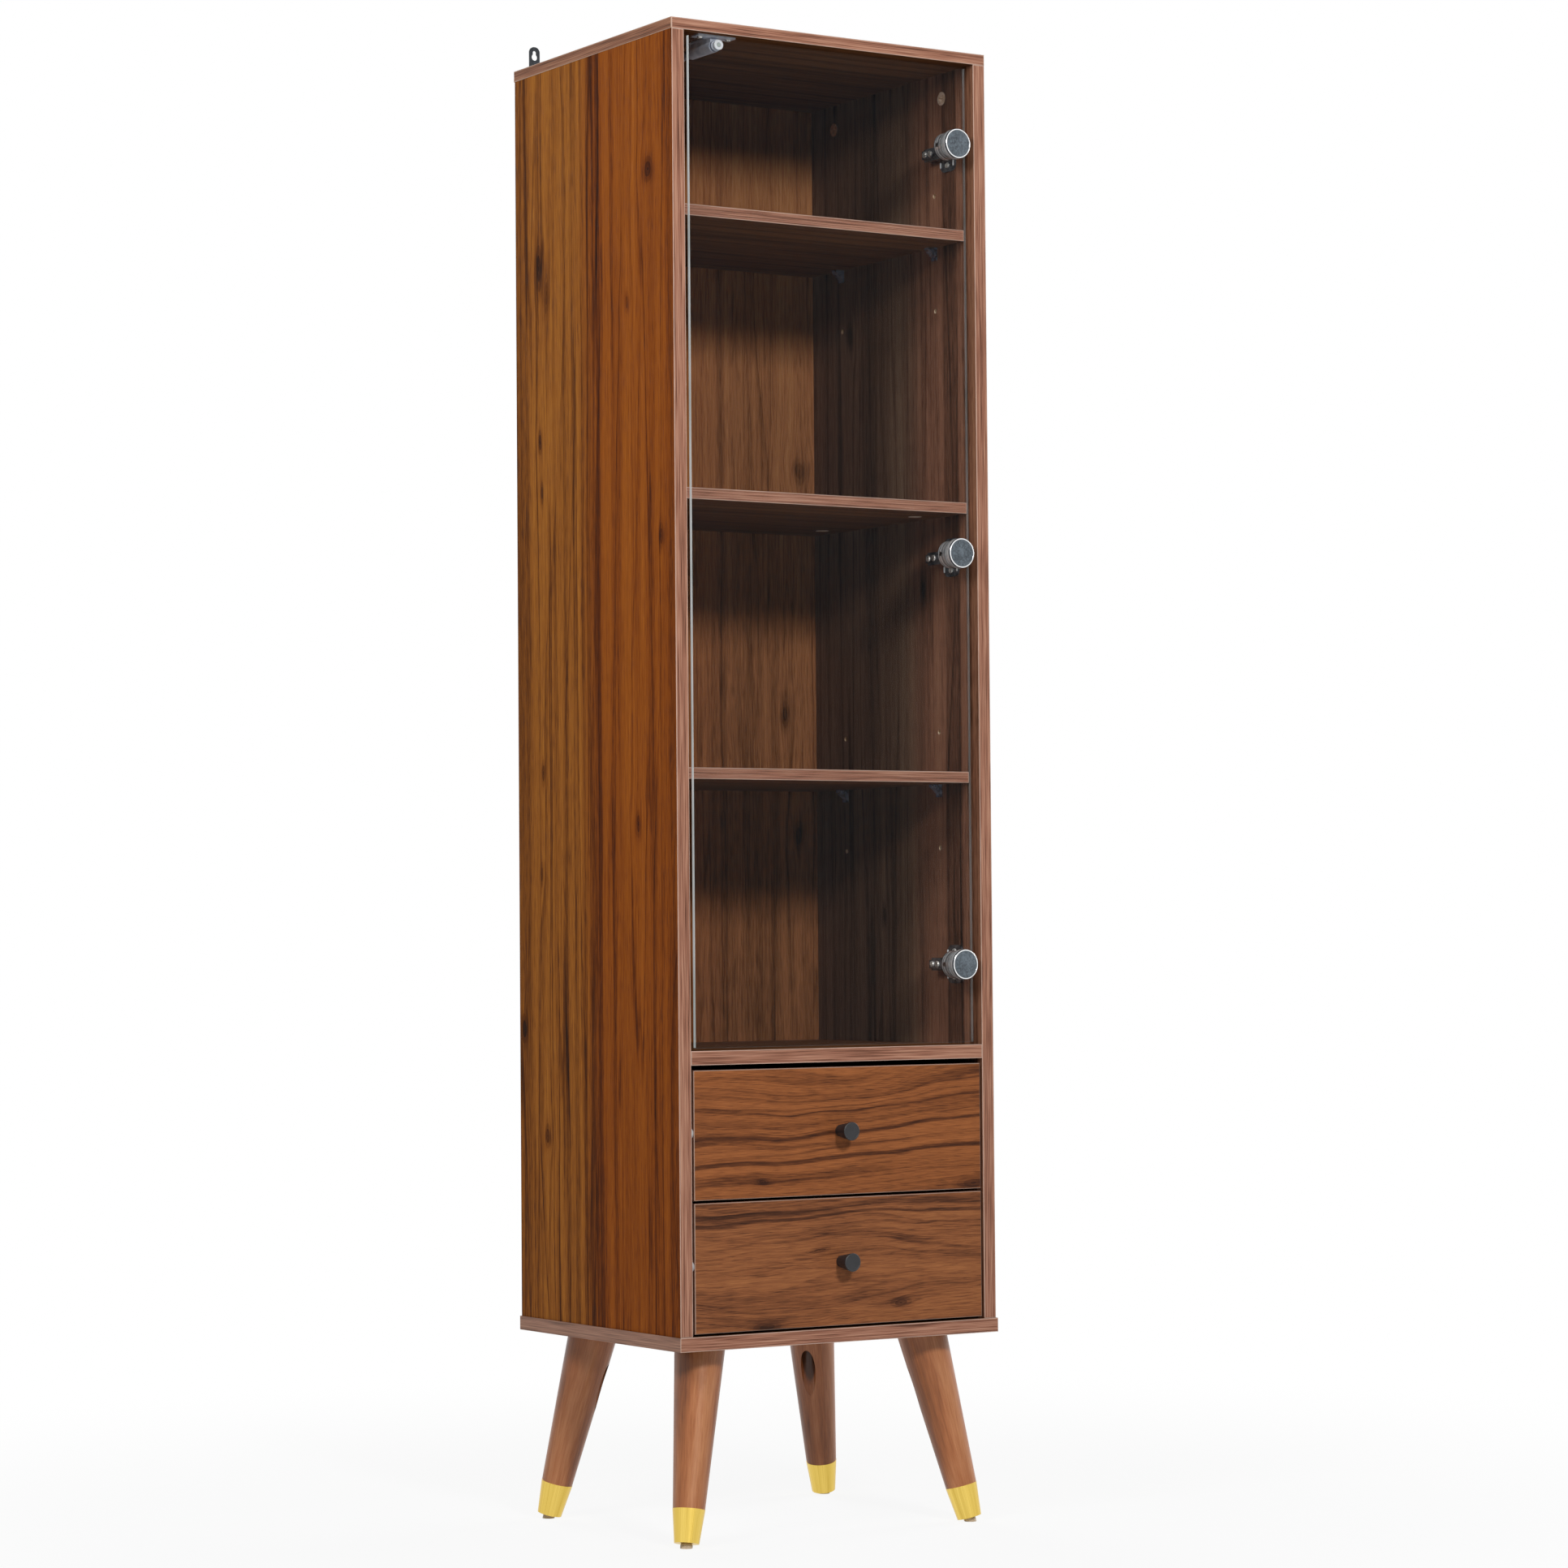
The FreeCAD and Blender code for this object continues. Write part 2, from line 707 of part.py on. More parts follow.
def make_latch():
    """Tubular touch latch in its cradle under the top, and its plunger."""
    start = V(latch_x, latch_front, latch_z)
    outline = [(0, 0), (latch_collar_radius, 0), (latch_collar_radius, latch_collar)]
    outline += [(latch_radius, latch_collar), (latch_radius, latch_length - latch_chamfer)]
    outline += [(latch_radius - latch_chamfer, latch_length), (0, latch_length)]
    tip = V(latch_x, plunger_tip, latch_z)
    bore_end = tip + Y * (plunger_length + plunger_travel + plunger_tip_gap)
    bore = rod(plunger_radius + plunger_fit, start, bore_end)
    add("latch_body", turned(outline, start, Y).cut(bore))

    nose = [(0, 0), (plunger_radius - plunger_bevel, 0), (plunger_radius, plunger_bevel)]
    add("latch_plunger", turned(nose + [(plunger_radius, plunger_length), (0, plunger_length)], tip, Y))

    front = latch_front + latch_collar + cradle_fit
    behind = front + cradle_length
    outer = latch_radius + cradle_wall
    under = z_top_under - cradle_plate
    ring = rod(outer, V(latch_x, front, latch_z), V(latch_x, behind, latch_z))
    neck = block(latch_x - latch_radius, latch_x + latch_radius, front, behind, latch_z, z_top_under)
    foot = block(latch_x - outer, latch_x + outer, cradle_front, behind, under, z_top_under)
    wings = block(latch_x - cradle_wing, latch_x + cradle_wing,
                  cradle_front, cradle_front + cradle_wing_width, under, z_top_under)
    cradle = ring.fuse([neck, foot, wings]).removeSplitter()
    seat = rod(latch_radius + cradle_fit, V(latch_x, front, latch_z), V(latch_x, behind, latch_z))
    add("latch_cradle", drilled(cradle, [seat] + [screw.hole() for screw in latch_screws()]))


def make_legs():
    """Splayed legs with their ferrules, glides and bolts."""
    ferrules, glides, bolts = [], [], []
    for name, side, way in leg_corners():
        top, axis, length = leg_axis(side, way)
        foot_end = length - glide_height
        shoulder = foot_end - ferrule_length
        spare = leg_top_radius
        taper = (leg_top_radius - leg_low_radius) / shoulder
        tip = foot_end - ferrule_wall - ferrule_fit
        skin = ferrule_wall + ferrule_fit
        outline = [(0, -spare), (leg_top_radius + taper * spare, -spare), (leg_low_radius, shoulder)]
        outline += [(leg_low_radius + ferrule_proud - skin, shoulder)]
        outline += [(ferrule_foot_radius - skin, tip), (0, tip)]
        leg = turned(outline, top, axis)
        sky = block(-width, width, -depth, 2 * depth, leg_height, leg_height + 2 * spare)
        seat = leg_bolt_place(side, way) - Z * leg_bolt_seat
        pocket = rod(leg_pocket_radius, seat, seat - Z * leg_pocket_length)
        add(f"leg_{name}", leg.cut([sky, pocket, leg_bolt_drilling(side, way)]))

        rim, toe = leg_low_radius + ferrule_proud, ferrule_foot_radius
        shell = [(rim, shoulder), (toe, foot_end), (0, foot_end), (0, foot_end - ferrule_wall)]
        shell += [(toe - ferrule_wall, foot_end - ferrule_wall), (rim - ferrule_wall, shoulder)]
        ferrules.append(turned(shell, top, axis))

        pad = [(0, foot_end), (glide_radius - glide_bevel, foot_end)]
        pad += [(glide_radius, foot_end + glide_bevel)]
        pad += [(glide_radius, length + glide_height), (0, length + glide_height)]
        ground = block(-width, width, -depth, 2 * depth, -2 * glide_height - glide_radius, 0)
        glides.append(turned(pad, top, axis).cut(ground))
        bolts.append(leg_bolt(side, way))
    add("leg_ferrules", *ferrules)
    add("leg_glides", *glides)
    add("leg_bolts", *bolts)


def make_wall_brackets():
    """Angle brackets on the top's back corners, each with a keyhole for a wall screw."""
    holes = [screw.hole() for screw in bracket_screws()]
    for name, side in SIDES.items():
        middle = side * (width / 2 - bracket_inset)
        half = bracket_sheet / 2
        path = [(bracket_front, z_top + half), (depth - half, z_top + half)]
        path.append((depth - half, z_top + bracket_height))
        start = V(middle - bracket_width / 2, 0, 0)
        angle = extruded(strip(path, bracket_sheet), start, Y, Z, X * bracket_width)
        upper = z_top + bracket_height / 2
        angle = rounded(angle, bracket_rounding,
                        lambda edge: runs_along(edge, Y) and edge.CenterOfMass.z > upper)
        eye = V(middle, depth, z_top + keyhole_height)
        through = Y * -bracket_sheet
        slot_top = eye + Z * keyhole_rise
        slot = block(middle - keyhole_slot, middle + keyhole_slot,
                     depth - bracket_sheet, depth, eye.z, slot_top.z)
        keyhole = [slot, rod(keyhole_radius, eye, eye + through)]
        keyhole.append(rod(keyhole_slot, slot_top, slot_top + through))
        add(f"wall_bracket_{name}", angle.cut(keyhole).cut(holes))


def runner_outline():
    """Section of a runner channel as (distance from the side panel, height) pairs."""
    web, end = runner_sheet / 2, runner_channel_width - runner_sheet / 2
    flange = runner_half_height - runner_sheet / 2
    lip = runner_half_height - runner_return
    path = [(end, -lip), (end, -flange), (web, -flange), (web, flange), (end, flange), (end, lip)]
    return strip(path, runner_sheet)


def slide_outline():
    """Section of a drawer's slide member, whose brims run inside the channel."""
    crown, brim = runner_gap - runner_sheet / 2, slide_brim_stand + runner_sheet / 2
    neck = slide_half_height - runner_sheet / 2
    edge = runner_half_height - runner_sheet - runner_fit
    path = [(brim, -edge), (brim, -neck), (crown, -neck), (crown, neck), (brim, neck), (brim, edge)]
    return strip(path, runner_sheet)


def make_runner_channels():
    """Channels on the side panels, a pair for each drawer."""
    holes = [screw.hole() for screw in runner_screws()]
    channels = []
    for level in drawer_levels.values():
        for side in SIDES.values():
            start = V(side * inner_x, runner_front, runner_height(level))
            channel = extruded(runner_outline(), start, X * -side, Z, Y * runner_length)
            channels.append(drilled(channel, holes))
    add("runner_channels", *channels)


def bumper(z):
    """Clear dome on the left edge of a drawer front, which keeps the front off the side panel."""
    height = drawer_gap_side - bumper_gap
    ball_radius = (bumper_radius ** 2 + height ** 2) / (2 * height)
    ball_centre = V(-front_half + ball_radius - height, drawer_rounding + bumper_inset + bumper_radius, z)
    base_angle = math.degrees(math.asin(1 - height / ball_radius))
    return Part.makeSphere(ball_radius, ball_centre, X * -1, base_angle, 90, 360)


def make_drawer(name, level):
    """One drawer: front, box, knob, slide members and bumper."""
    rear = drawer_front_thickness
    side_low = level + drawer_side_rise
    side_high = side_low + drawer_side_height
    floor_low = side_low + drawer_bottom_rise
    floor_high = floor_low + drawer_bottom_thickness
    inside = box_half - drawer_side_thickness
    reach = inside + groove_depth
    groove = block(-reach, reach, rear - groove_depth, box_back,
                   floor_low - groove_clearance, floor_high + groove_clearance)

    knob_z = level + front_height / 2
    seat = V(0, rear, knob_z)
    screw = Screw(seat, Y * -1, rear + knob_screw_bite, knob_screw_radius, knob_screw_head)
    front = block(-front_half, front_half, 0, rear, level, level + front_height)
    front = rounded(front, drawer_rounding, lambda edge: edge.CenterOfMass.y < 1e-6)
    add(f"drawer_{name}_front", front.cut([groove, screw.hole()]))

    outline = [(0, 0), (knob_base_radius, 0), (knob_face_radius, knob_length - knob_rounding)]
    outline += [(knob_face_radius - knob_rounding, knob_length), (0, knob_length)]
    add(f"drawer_{name}_knob", turned(outline, V(0, 0, knob_z), Y * -1).cut(screw.hole()))
    add(f"drawer_{name}_knob_screw", screw.solid())

    walls = [block(side * inside, side * box_half, rear, box_back, side_low, side_high).cut(groove)
             for side in SIDES.values()]
    add(f"drawer_{name}_sides", *walls)
    rear_wall = box_back - drawer_side_thickness
    add(f"drawer_{name}_back", block(-inside, inside, rear_wall, box_back, floor_high, side_high))
    tongue = groove_depth - groove_clearance
    add(f"drawer_{name}_bottom",
        block(-inside - tongue, inside + tongue, rear - tongue, box_back, floor_low, floor_high))

    slides = []
    for side in SIDES.values():
        start = V(side * inner_x, runner_front, runner_height(level))
        slides.append(extruded(slide_outline(), start, X * -side, Z, Y * slide_length))
    add(f"drawer_{name}_slides", *slides)
    add(f"drawer_{name}_bumper", bumper(knob_z + bumper_rise))


make_carcass()
make_loose_shelves()
make_door()
make_hinges()
make_latch()
make_legs()
make_wall_brackets()
make_runner_channels()
for drawer_name, drawer_level in drawer_levels.items():
    make_drawer(drawer_name, drawer_level)

os.makedirs("parts", exist_ok=True)
for piece_name, piece in pieces.items():
    piece.translate(V(0, -y_centre, 0))
    piece.exportStep(f"parts/{piece_name}.step")
print(len(pieces), "pieces written")
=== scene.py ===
"""Dressed model of a tall glass display cabinet with two drawers.

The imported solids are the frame. This script gives them their finishes, adds the fine
pieces that the solids leave out or keep plain (edging, cross-recess screws, turned caps
and knobs, plate ribs and a latch ring), and sets up the floor, the lamps and the camera.
All lengths are in metres.
"""
from __future__ import annotations

import logging
import math
from dataclasses import dataclass, replace
from enum import Enum, IntEnum
from typing import Callable, Iterable, Sequence, Union

import bmesh
import bpy
from mathutils import Matrix, Vector

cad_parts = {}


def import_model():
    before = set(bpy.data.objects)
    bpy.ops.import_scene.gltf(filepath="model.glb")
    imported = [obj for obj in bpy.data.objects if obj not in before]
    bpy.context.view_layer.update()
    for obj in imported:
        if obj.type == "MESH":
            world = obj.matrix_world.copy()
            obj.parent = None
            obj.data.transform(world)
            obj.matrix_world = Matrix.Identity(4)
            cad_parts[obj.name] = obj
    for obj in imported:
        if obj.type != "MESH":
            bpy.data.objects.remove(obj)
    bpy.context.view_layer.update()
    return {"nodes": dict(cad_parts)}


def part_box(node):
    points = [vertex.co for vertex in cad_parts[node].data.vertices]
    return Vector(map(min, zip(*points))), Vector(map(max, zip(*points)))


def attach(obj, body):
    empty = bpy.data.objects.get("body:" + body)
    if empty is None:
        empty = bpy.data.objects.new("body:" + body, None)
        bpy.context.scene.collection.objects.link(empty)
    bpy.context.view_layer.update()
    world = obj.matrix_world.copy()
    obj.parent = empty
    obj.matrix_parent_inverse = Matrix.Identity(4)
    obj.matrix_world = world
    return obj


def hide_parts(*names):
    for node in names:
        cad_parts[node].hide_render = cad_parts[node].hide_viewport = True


log = logging.getLogger("cabinet")

Colour = tuple[float, float, float, float]
Place = tuple[float, float, float]
Pair = tuple[float, float]
Term = Union["Signal", float]
Socket = Union[int, str]
Sockets = dict[Socket, object]
Spot = tuple["Signal", "Signal", "Signal"]
Material = bpy.types.Material
BMesh = bmesh.types.BMesh

WHITE: Colour = (1.0, 1.0, 1.0, 1.0)
BLACK: Colour = (0.0, 0.0, 0.0, 1.0)
HALF = 0.5
HINGES = (("top", 1.5), ("middle", 1.052), ("bottom", 0.605))
KNOBS = {"lower": 0.291275, "upper": 0.429825}
PLATE_X, PLATE_Y = 0.183, -0.111167
SHARP_ANGLE = math.radians(32)
TINY = 1e-6


def shade(code: str) -> Colour:
    """Turn a written colour into the linear one that a shader takes.

    Args:
        code: Six hex digits, as in a colour picker.

    Returns:
        Linear red, green, blue and an opacity of one.
    """
    parts = [int(code[i:i + 2], 16) / 255 for i in (0, 2, 4)]
    linear = [p / 12.92 if p <= 0.04045 else ((p + 0.055) / 1.055) ** 2.4 for p in parts]
    return (linear[0], linear[1], linear[2], 1.0)


class Axis(IntEnum):
    """Directions of the cabinet: across it, from front to back, and up."""

    X = 0
    Y = 1
    Z = 2


class Edge(Enum):
    """Sides of a board that can carry edging, with the way that each one looks."""

    FRONT = (0.0, -1.0, 0.0)
    LEFT = (-1.0, 0.0, 0.0)
    RIGHT = (1.0, 0.0, 0.0)


class CutEdge(Enum):
    """What covers the narrow sides of a board."""

    RAW = "raw core"
    FOILED = "edging foil"


def joined(operation: str, swapped: bool = False) -> Callable[..., "Signal"]:
    """Make a method that puts a signal through a Math node.

    Args:
        operation: What the node does.
        swapped: Whether the other term comes first.

    Returns:
        The method. It takes the other term, or none where the node needs only one.
    """
    def method(signal: Signal, *other: Term) -> Signal:
        """Signal of the Math node."""
        shader, terms = signal.shader, (*other, signal) if swapped else (signal, *other)
        return shader.out(shader.node("Math", {"operation": operation}, dict(enumerate(terms))))

    return method


class Signal:
    """A socket of a shader, wrapped so that sums on it are written as Python."""

    __add__ = __radd__ = joined("ADD")
    __sub__ = joined("SUBTRACT")
    __rsub__ = joined("SUBTRACT", swapped=True)
    __mul__ = __rmul__ = joined("MULTIPLY")
    __truediv__ = joined("DIVIDE")
    __pow__ = joined("POWER")
    __abs__ = joined("ABSOLUTE")
    __lt__ = joined("LESS_THAN")
    __gt__ = joined("GREATER_THAN")
    most = joined("MAXIMUM")
    fraction = joined("FRACT")
    exp = joined("EXPONENT")

    def __init__(self, shader: Shader, socket: bpy.types.NodeSocket) -> None:
        """Keep the socket and the shader that it belongs to."""
        self.shader = shader
        self.socket = socket

    def rise(self, start: float, end: float) -> Signal:
        """Smooth step from nought at start to one at end, which may be the smaller."""
        settings = {"interpolation_type": "SMOOTHSTEP", "clamp": True}
        return self.shader.out(self.shader.node("MapRange", settings, {0: self, 1: start, 2: end}))


class Shader:
    """Node tree of a material or of the world, filled from Python expressions."""

    def __init__(self, owner: Material | bpy.types.World) -> None:
        """Start with an empty node tree.

        Args:
            owner: Material or world that the tree belongs to.
        """
        owner.use_nodes = True
        self.owner = owner
        self.tree = owner.node_tree
        self.tree.nodes.clear()

    @classmethod
    def named(cls, name: str) -> Shader:
        """Shader of a new material."""
        return cls(bpy.data.materials.new(name))

    def node(self, kind: str, settings: dict[str, object] | None = None,
             sockets: Sockets | None = None) -> bpy.types.Node:
        """Add a node.

        Args:
            kind: Node type without its prefix.
            settings: Properties, set first.
            sockets: Values, written colours or signals, by socket name or number.

        Returns:
            The new node.
        """
        made = self.tree.nodes.new(f"ShaderNode{kind}")
        for key, value in (settings or {}).items():
            setattr(made, key, value)
        for key, value in (sockets or {}).items():
            if isinstance(value, Signal):
                self.tree.links.new(value.socket, made.inputs[key])
            else:
                made.inputs[key].default_value = shade(value) if isinstance(value, str) else value
        return made

    def out(self, made: bpy.types.Node, socket: Socket = 0) -> Signal:
        """Signal of a node's output."""
        return Signal(self, made.outputs[socket])

    def place(self, output: str = "Object") -> Spot:
        """Object coordinates, or another texture coordinate, one signal per axis."""
        parts = self.node("SeparateXYZ", None, {0: self.out(self.node("TexCoord"), output)})
        return (self.out(parts, 0), self.out(parts, 1), self.out(parts, 2))

    def facing(self) -> Spot:
        """Surface normal in the object's own axes, one signal per axis."""
        return self.place("Normal")

    def attribute(self, name: str) -> Signal:
        """Number that the mesh carries under a name."""
        return self.out(self.node("Attribute", {"attribute_name": name}), "Fac")

    def seen(self) -> Signal:
        """Tell the rays that look at things from those that light them.

        Returns:
            One for camera, glossy and transmission rays, and nought for others.
        """
        rays = self.node("LightPath")
        camera, glossy, through = [self.out(rays, f"Is {kind} Ray")
                                   for kind in ("Camera", "Glossy", "Transmission")]
        return camera.most(glossy).most(through)

    def noise(self, place: Sequence[Term], scale: float | tuple[float, ...], detail: float = 2.0,
              rough: float = 0.5) -> Signal:
        """Noise with a mean of about a half.

        Args:
            place: Three coordinates.
            scale: Noise cells per metre, for all of them or for each.
            detail: Number of finer layers.
            rough: Strength of the finer layers.

        Returns:
            The noise value.
        """
        scales = scale if isinstance(scale, tuple) else (scale,) * 3
        parts = {i: part * by for i, (part, by) in enumerate(zip(place, scales))}
        at = self.out(self.node("CombineXYZ", None, parts))
        sockets = {"Vector": at, "Scale": 1.0, "Detail": detail, "Roughness": rough}
        return self.out(self.node("TexNoise", {"noise_dimensions": "3D"}, sockets))

    def cells(self, at: Term, scale: float) -> tuple[Signal, Signal]:
        """Two random numbers per irregular band along a line.

        Args:
            at: Distance along the line.
            scale: Bands per unit.

        Returns:
            The two numbers, each from nought to one.
        """
        settings = {"voronoi_dimensions": "1D", "feature": "F1"}
        made = self.node("TexVoronoi", settings, {"W": at, "Scale": scale, "Randomness": 0.9})
        parts = self.node("SeparateColor", None, {0: self.out(made, "Color")})
        return self.out(parts, 0), self.out(parts, 1)

    def ramp(self, tone: Signal, spots: Sequence[float], codes: Sequence[str]) -> Signal:
        """Colour from a tone.

        Args:
            tone: The tone.
            spots: Tone at each stop of the colour ramp, in order.
            codes: Written colour of each stop.

        Returns:
            The colour.
        """
        made = self.node("ValToRGB", None, {0: tone})
        stops = made.color_ramp.elements
        while len(stops) < len(spots):
            stops.new(1.0)
        for stop, spot, code in zip(stops, spots, codes):
            stop.position, stop.color = spot, shade(code)
        return self.out(made)

    def mix(self, factor: Term, first: object, second: object, blend: str = "MIX") -> Signal:
        """Mix of two colours, written colours or signals; factor is the second one's share."""
        settings = {"data_type": "RGBA", "blend_type": blend, "clamp_factor": True}
        return self.out(self.node("Mix", settings, {0: factor, 6: first, 7: second}), 2)

    def bump(self, height: Signal, depth: float, strength: float) -> Signal:
        """Normal from a height field that spans a depth in metres."""
        sockets = {"Strength": strength, "Distance": depth, "Height": height}
        return self.out(self.node("Bump", None, sockets))

    def surface(self, sockets: Sockets) -> Material:
        """Close the material with a principled surface.

        Args:
            sockets: Values or signals of the surface's sockets.

        Returns:
            The finished material.
        """
        made = self.node("BsdfPrincipled", None, sockets)
        self.node("OutputMaterial", None, {"Surface": self.out(made)})
        return self.owner


@dataclass(frozen=True)
class Sheen:
    """Gloss and fine relief of a face: roughness and its spread, mirror share and grooves."""

    rough: float
    spread: float
    mirror: float = 0.5
    depth: float = 0.00015
    relief: float = 0.55

    def sockets(self, shader: Shader, colour: Signal, height: Signal) -> Sockets:
        """Sockets of a surface with this gloss; its relief also varies the roughness."""
        return {"Base Color": colour, "Roughness": height * self.spread + self.rough,
                "Specular IOR Level": self.mirror,
                "Normal": shader.bump(height, self.depth, self.relief)}


@dataclass(frozen=True)
class Layer:
    """Layer of noise in a print: cells per metre over and along the grain, and its weight."""

    over: float
    run: float
    shift: float = 0.0
    detail: float = 2.0
    rough: float = 0.5
    weight: float = 0.0


@dataclass(frozen=True)
class Grain:
    """Place in a print: distance over the grain and along it, and the print's own seed."""

    shader: Shader
    across: Signal
    along: Signal
    seed: float = 0.0

    def noise(self, layer: Layer) -> Signal:
        """Noise of a layer at this place."""
        place = (self.across, self.along, self.seed + layer.shift)
        return self.shader.noise(place, (layer.over, layer.run, 1.0), layer.detail, layer.rough)


RIPPLE = Layer(24.0, 6.0, 1.7)
FIGURE = Layer(9.0, 0.85, 0.0, 1.5, 0.4)
PATCH = Layer(34.0, 1.0, 4.4, 1.0)
HAIR = Layer(170.0, 2.6, 8.3, 1.0, weight=0.11)
BROAD = Layer(75.0, 1.5, 2.6, 2.0, 0.55, 0.42)
COMB = Layer(430.0, 6.5, 7.0, 3.0, 0.65, 0.30)
FIBRE = Layer(1000.0, 45.0, 11.0, 2.0, 0.6, 0.20)
PORE = Layer(1150.0, 42.0, 13.0, 1.0, weight=0.12)
FOIL_FINE = Layer(1350.0, 16.0, 3.1, 2.0, 0.6, 2.0)
FOIL_SLOW = Layer(520.0, 3.5, 8.2, 2.0, 0.6, 1.4)


@dataclass(frozen=True)
class Knot:
    """Dark eye of the print, which the grain lines bend round."""

    across: float
    along: float
    width: float = 0.005
    length: float = 0.013
    dark: float = 0.8
    bend: float = 0.55
    wobble: float = 2.4
    rings: float = 1.9
    ring_wobble: float = 1.5

    def draw(self, grain: Grain, ripple: Signal) -> tuple[Grain, Signal]:
        """Bend the grain round the knot and draw its eye.

        Args:
            grain: Place in the print.
            ripple: Noise that makes the eye uneven.

        Returns:
            Place in the bent grain, and how dark the eye is.
        """
        offset = grain.across - self.across
        down = (grain.along - self.along) / self.length
        over = offset / self.width + (ripple - HALF) * self.wobble
        near = over * over + down * down
        swirl = (near ** 0.5 * self.rings + ripple * self.ring_wobble).fraction()
        bent = grain.across - offset * ((near * -0.16).exp() * self.bend)
        eye = (near * -0.9).exp() * (swirl * 0.45 + 0.6) * self.dark
        return replace(grain, across=bent), eye


@dataclass(frozen=True)
class Band:
    """Strip of the print that runs along the grain and is darker or lighter."""

    across: float
    half: float
    dark: float
    soft: float = 0.004


@dataclass(frozen=True)
class WalnutPrint:
    """Walnut foil: tones from deep to pale, and the figure that is printed in them."""

    seed: float = 0.0
    tones: tuple[str, ...] = ("2b150c", "5c331d", "905530", "ad693c", "c8874f")
    warm: str = "ffffff"
    cool: str = "ffffff"
    turn: float = 0.0
    planks: float = 22.0
    lines: float = 40.0
    wander: float = 4.5
    threads: float = 36.0
    veins: float = 0.27
    tilt: float = 0.0
    sway: float = 0.004
    roll: float = 1.3
    # Painted shade: with this set, the print gets lighter above the middle height and darker below
    # it, standing in for the lamps' light falling off downwards.
    painted_falloff: float = 0.0
    middle: float = 1.05
    knots: tuple[Knot, ...] = ()
    bands: tuple[Band, ...] = ()
    base: float = 0.60
    plank_weight: float = 0.13
    eye_weight: float = 0.7
    tone_spots: tuple[float, ...] = (0.02, 0.28, 0.52, 0.74, 1.0)

    def vein(self, grain: Grain) -> Signal:
        """Dark veins: sharp ring edges in some patches and single threads in the others.

        Args:
            grain: Place in the print.

        Returns:
            How dark the veins are.
        """
        ring = (grain.noise(FIGURE) * self.wander + grain.across * self.lines).fraction()
        patch = grain.noise(PATCH).rise(0.38, 0.66)
        thread = abs(grain.noise(Layer(self.threads, 0.8, 6.1)) - HALF).rise(0.035, 0.0)
        return ring ** 14.0 * patch + thread * (1.1 - patch * 0.8) + ring ** 3.0 * 0.1

    def paint(self, shader: Shader, across: Signal, along: Signal) -> tuple[Signal, Signal]:
        """Draw the print.

        Args:
            shader: Material that is being made.
            across: Distance over the grain.
            along: Distance along the grain.

        Returns:
            Colour of the print and height of its fine grooves.
        """
        flat = Grain(shader, across, along, self.seed)
        drift, ripple = flat.noise(Layer(5.0, self.roll)), flat.noise(RIPPLE)
        bent = across + (drift - HALF) * (self.sway * 2.0) + (ripple - HALF) * (self.sway * 0.55)
        if self.tilt:
            bent = bent - along * self.tilt
        grain, eyes = replace(flat, across=bent), 0.0
        for knot in self.knots:
            grain, eye = knot.draw(grain, ripple)
            eyes = eye + eyes
        plank, hue = shader.cells(grain.across + self.seed * 0.31, self.planks)
        hair = abs(grain.noise(HAIR) - HALF).rise(0.045, 0.0)
        fibre, pore = flat.noise(FIBRE), flat.noise(PORE).rise(0.57, 0.66)
        tone = (plank - HALF) * self.plank_weight + self.base
        for layer in (COMB, BROAD):
            tone = tone + (grain.noise(layer) - HALF) * layer.weight
        tone = tone + (fibre.rise(0.25, 0.75) - HALF) * FIBRE.weight
        tone = tone - self.vein(grain) * self.veins
        tone = tone - hair * HAIR.weight - pore * PORE.weight - eyes * self.eye_weight
        # Painted shade: the tone darkens towards the bottom, for light that falls off downwards.
        if self.painted_falloff:
            tone = tone + (along - self.middle) * self.painted_falloff
        for band in self.bands:
            inside = abs(grain.across - band.across).rise(band.half + band.soft, band.half)
            tone = tone - inside * band.dark
        colour = shader.ramp(tone, self.tone_spots, self.tones)
        cooler = (across + (hue - HALF) * 0.05).rise(self.turn - 0.03, self.turn + 0.03)
        tint = shader.mix(cooler, self.warm, self.cool)
        return shader.mix(1.0, colour, tint, "MULTIPLY"), fibre * 0.6 - pore * 0.7


@dataclass(frozen=True)
class RawCore:
    """Cut chipboard, which shows in drillings and on bare edges."""

    chip: str = "f8e4c6"
    glue: str = "d4b088"
    grain: float = 420.0

    def paint(self, shader: Shader, place: Sequence[Signal]) -> Signal:
        """Colour of the chips at a place."""
        chips = shader.noise(place, self.grain, 3.0, 0.7).rise(0.3, 0.7)
        return shader.mix(chips, self.glue, self.chip)


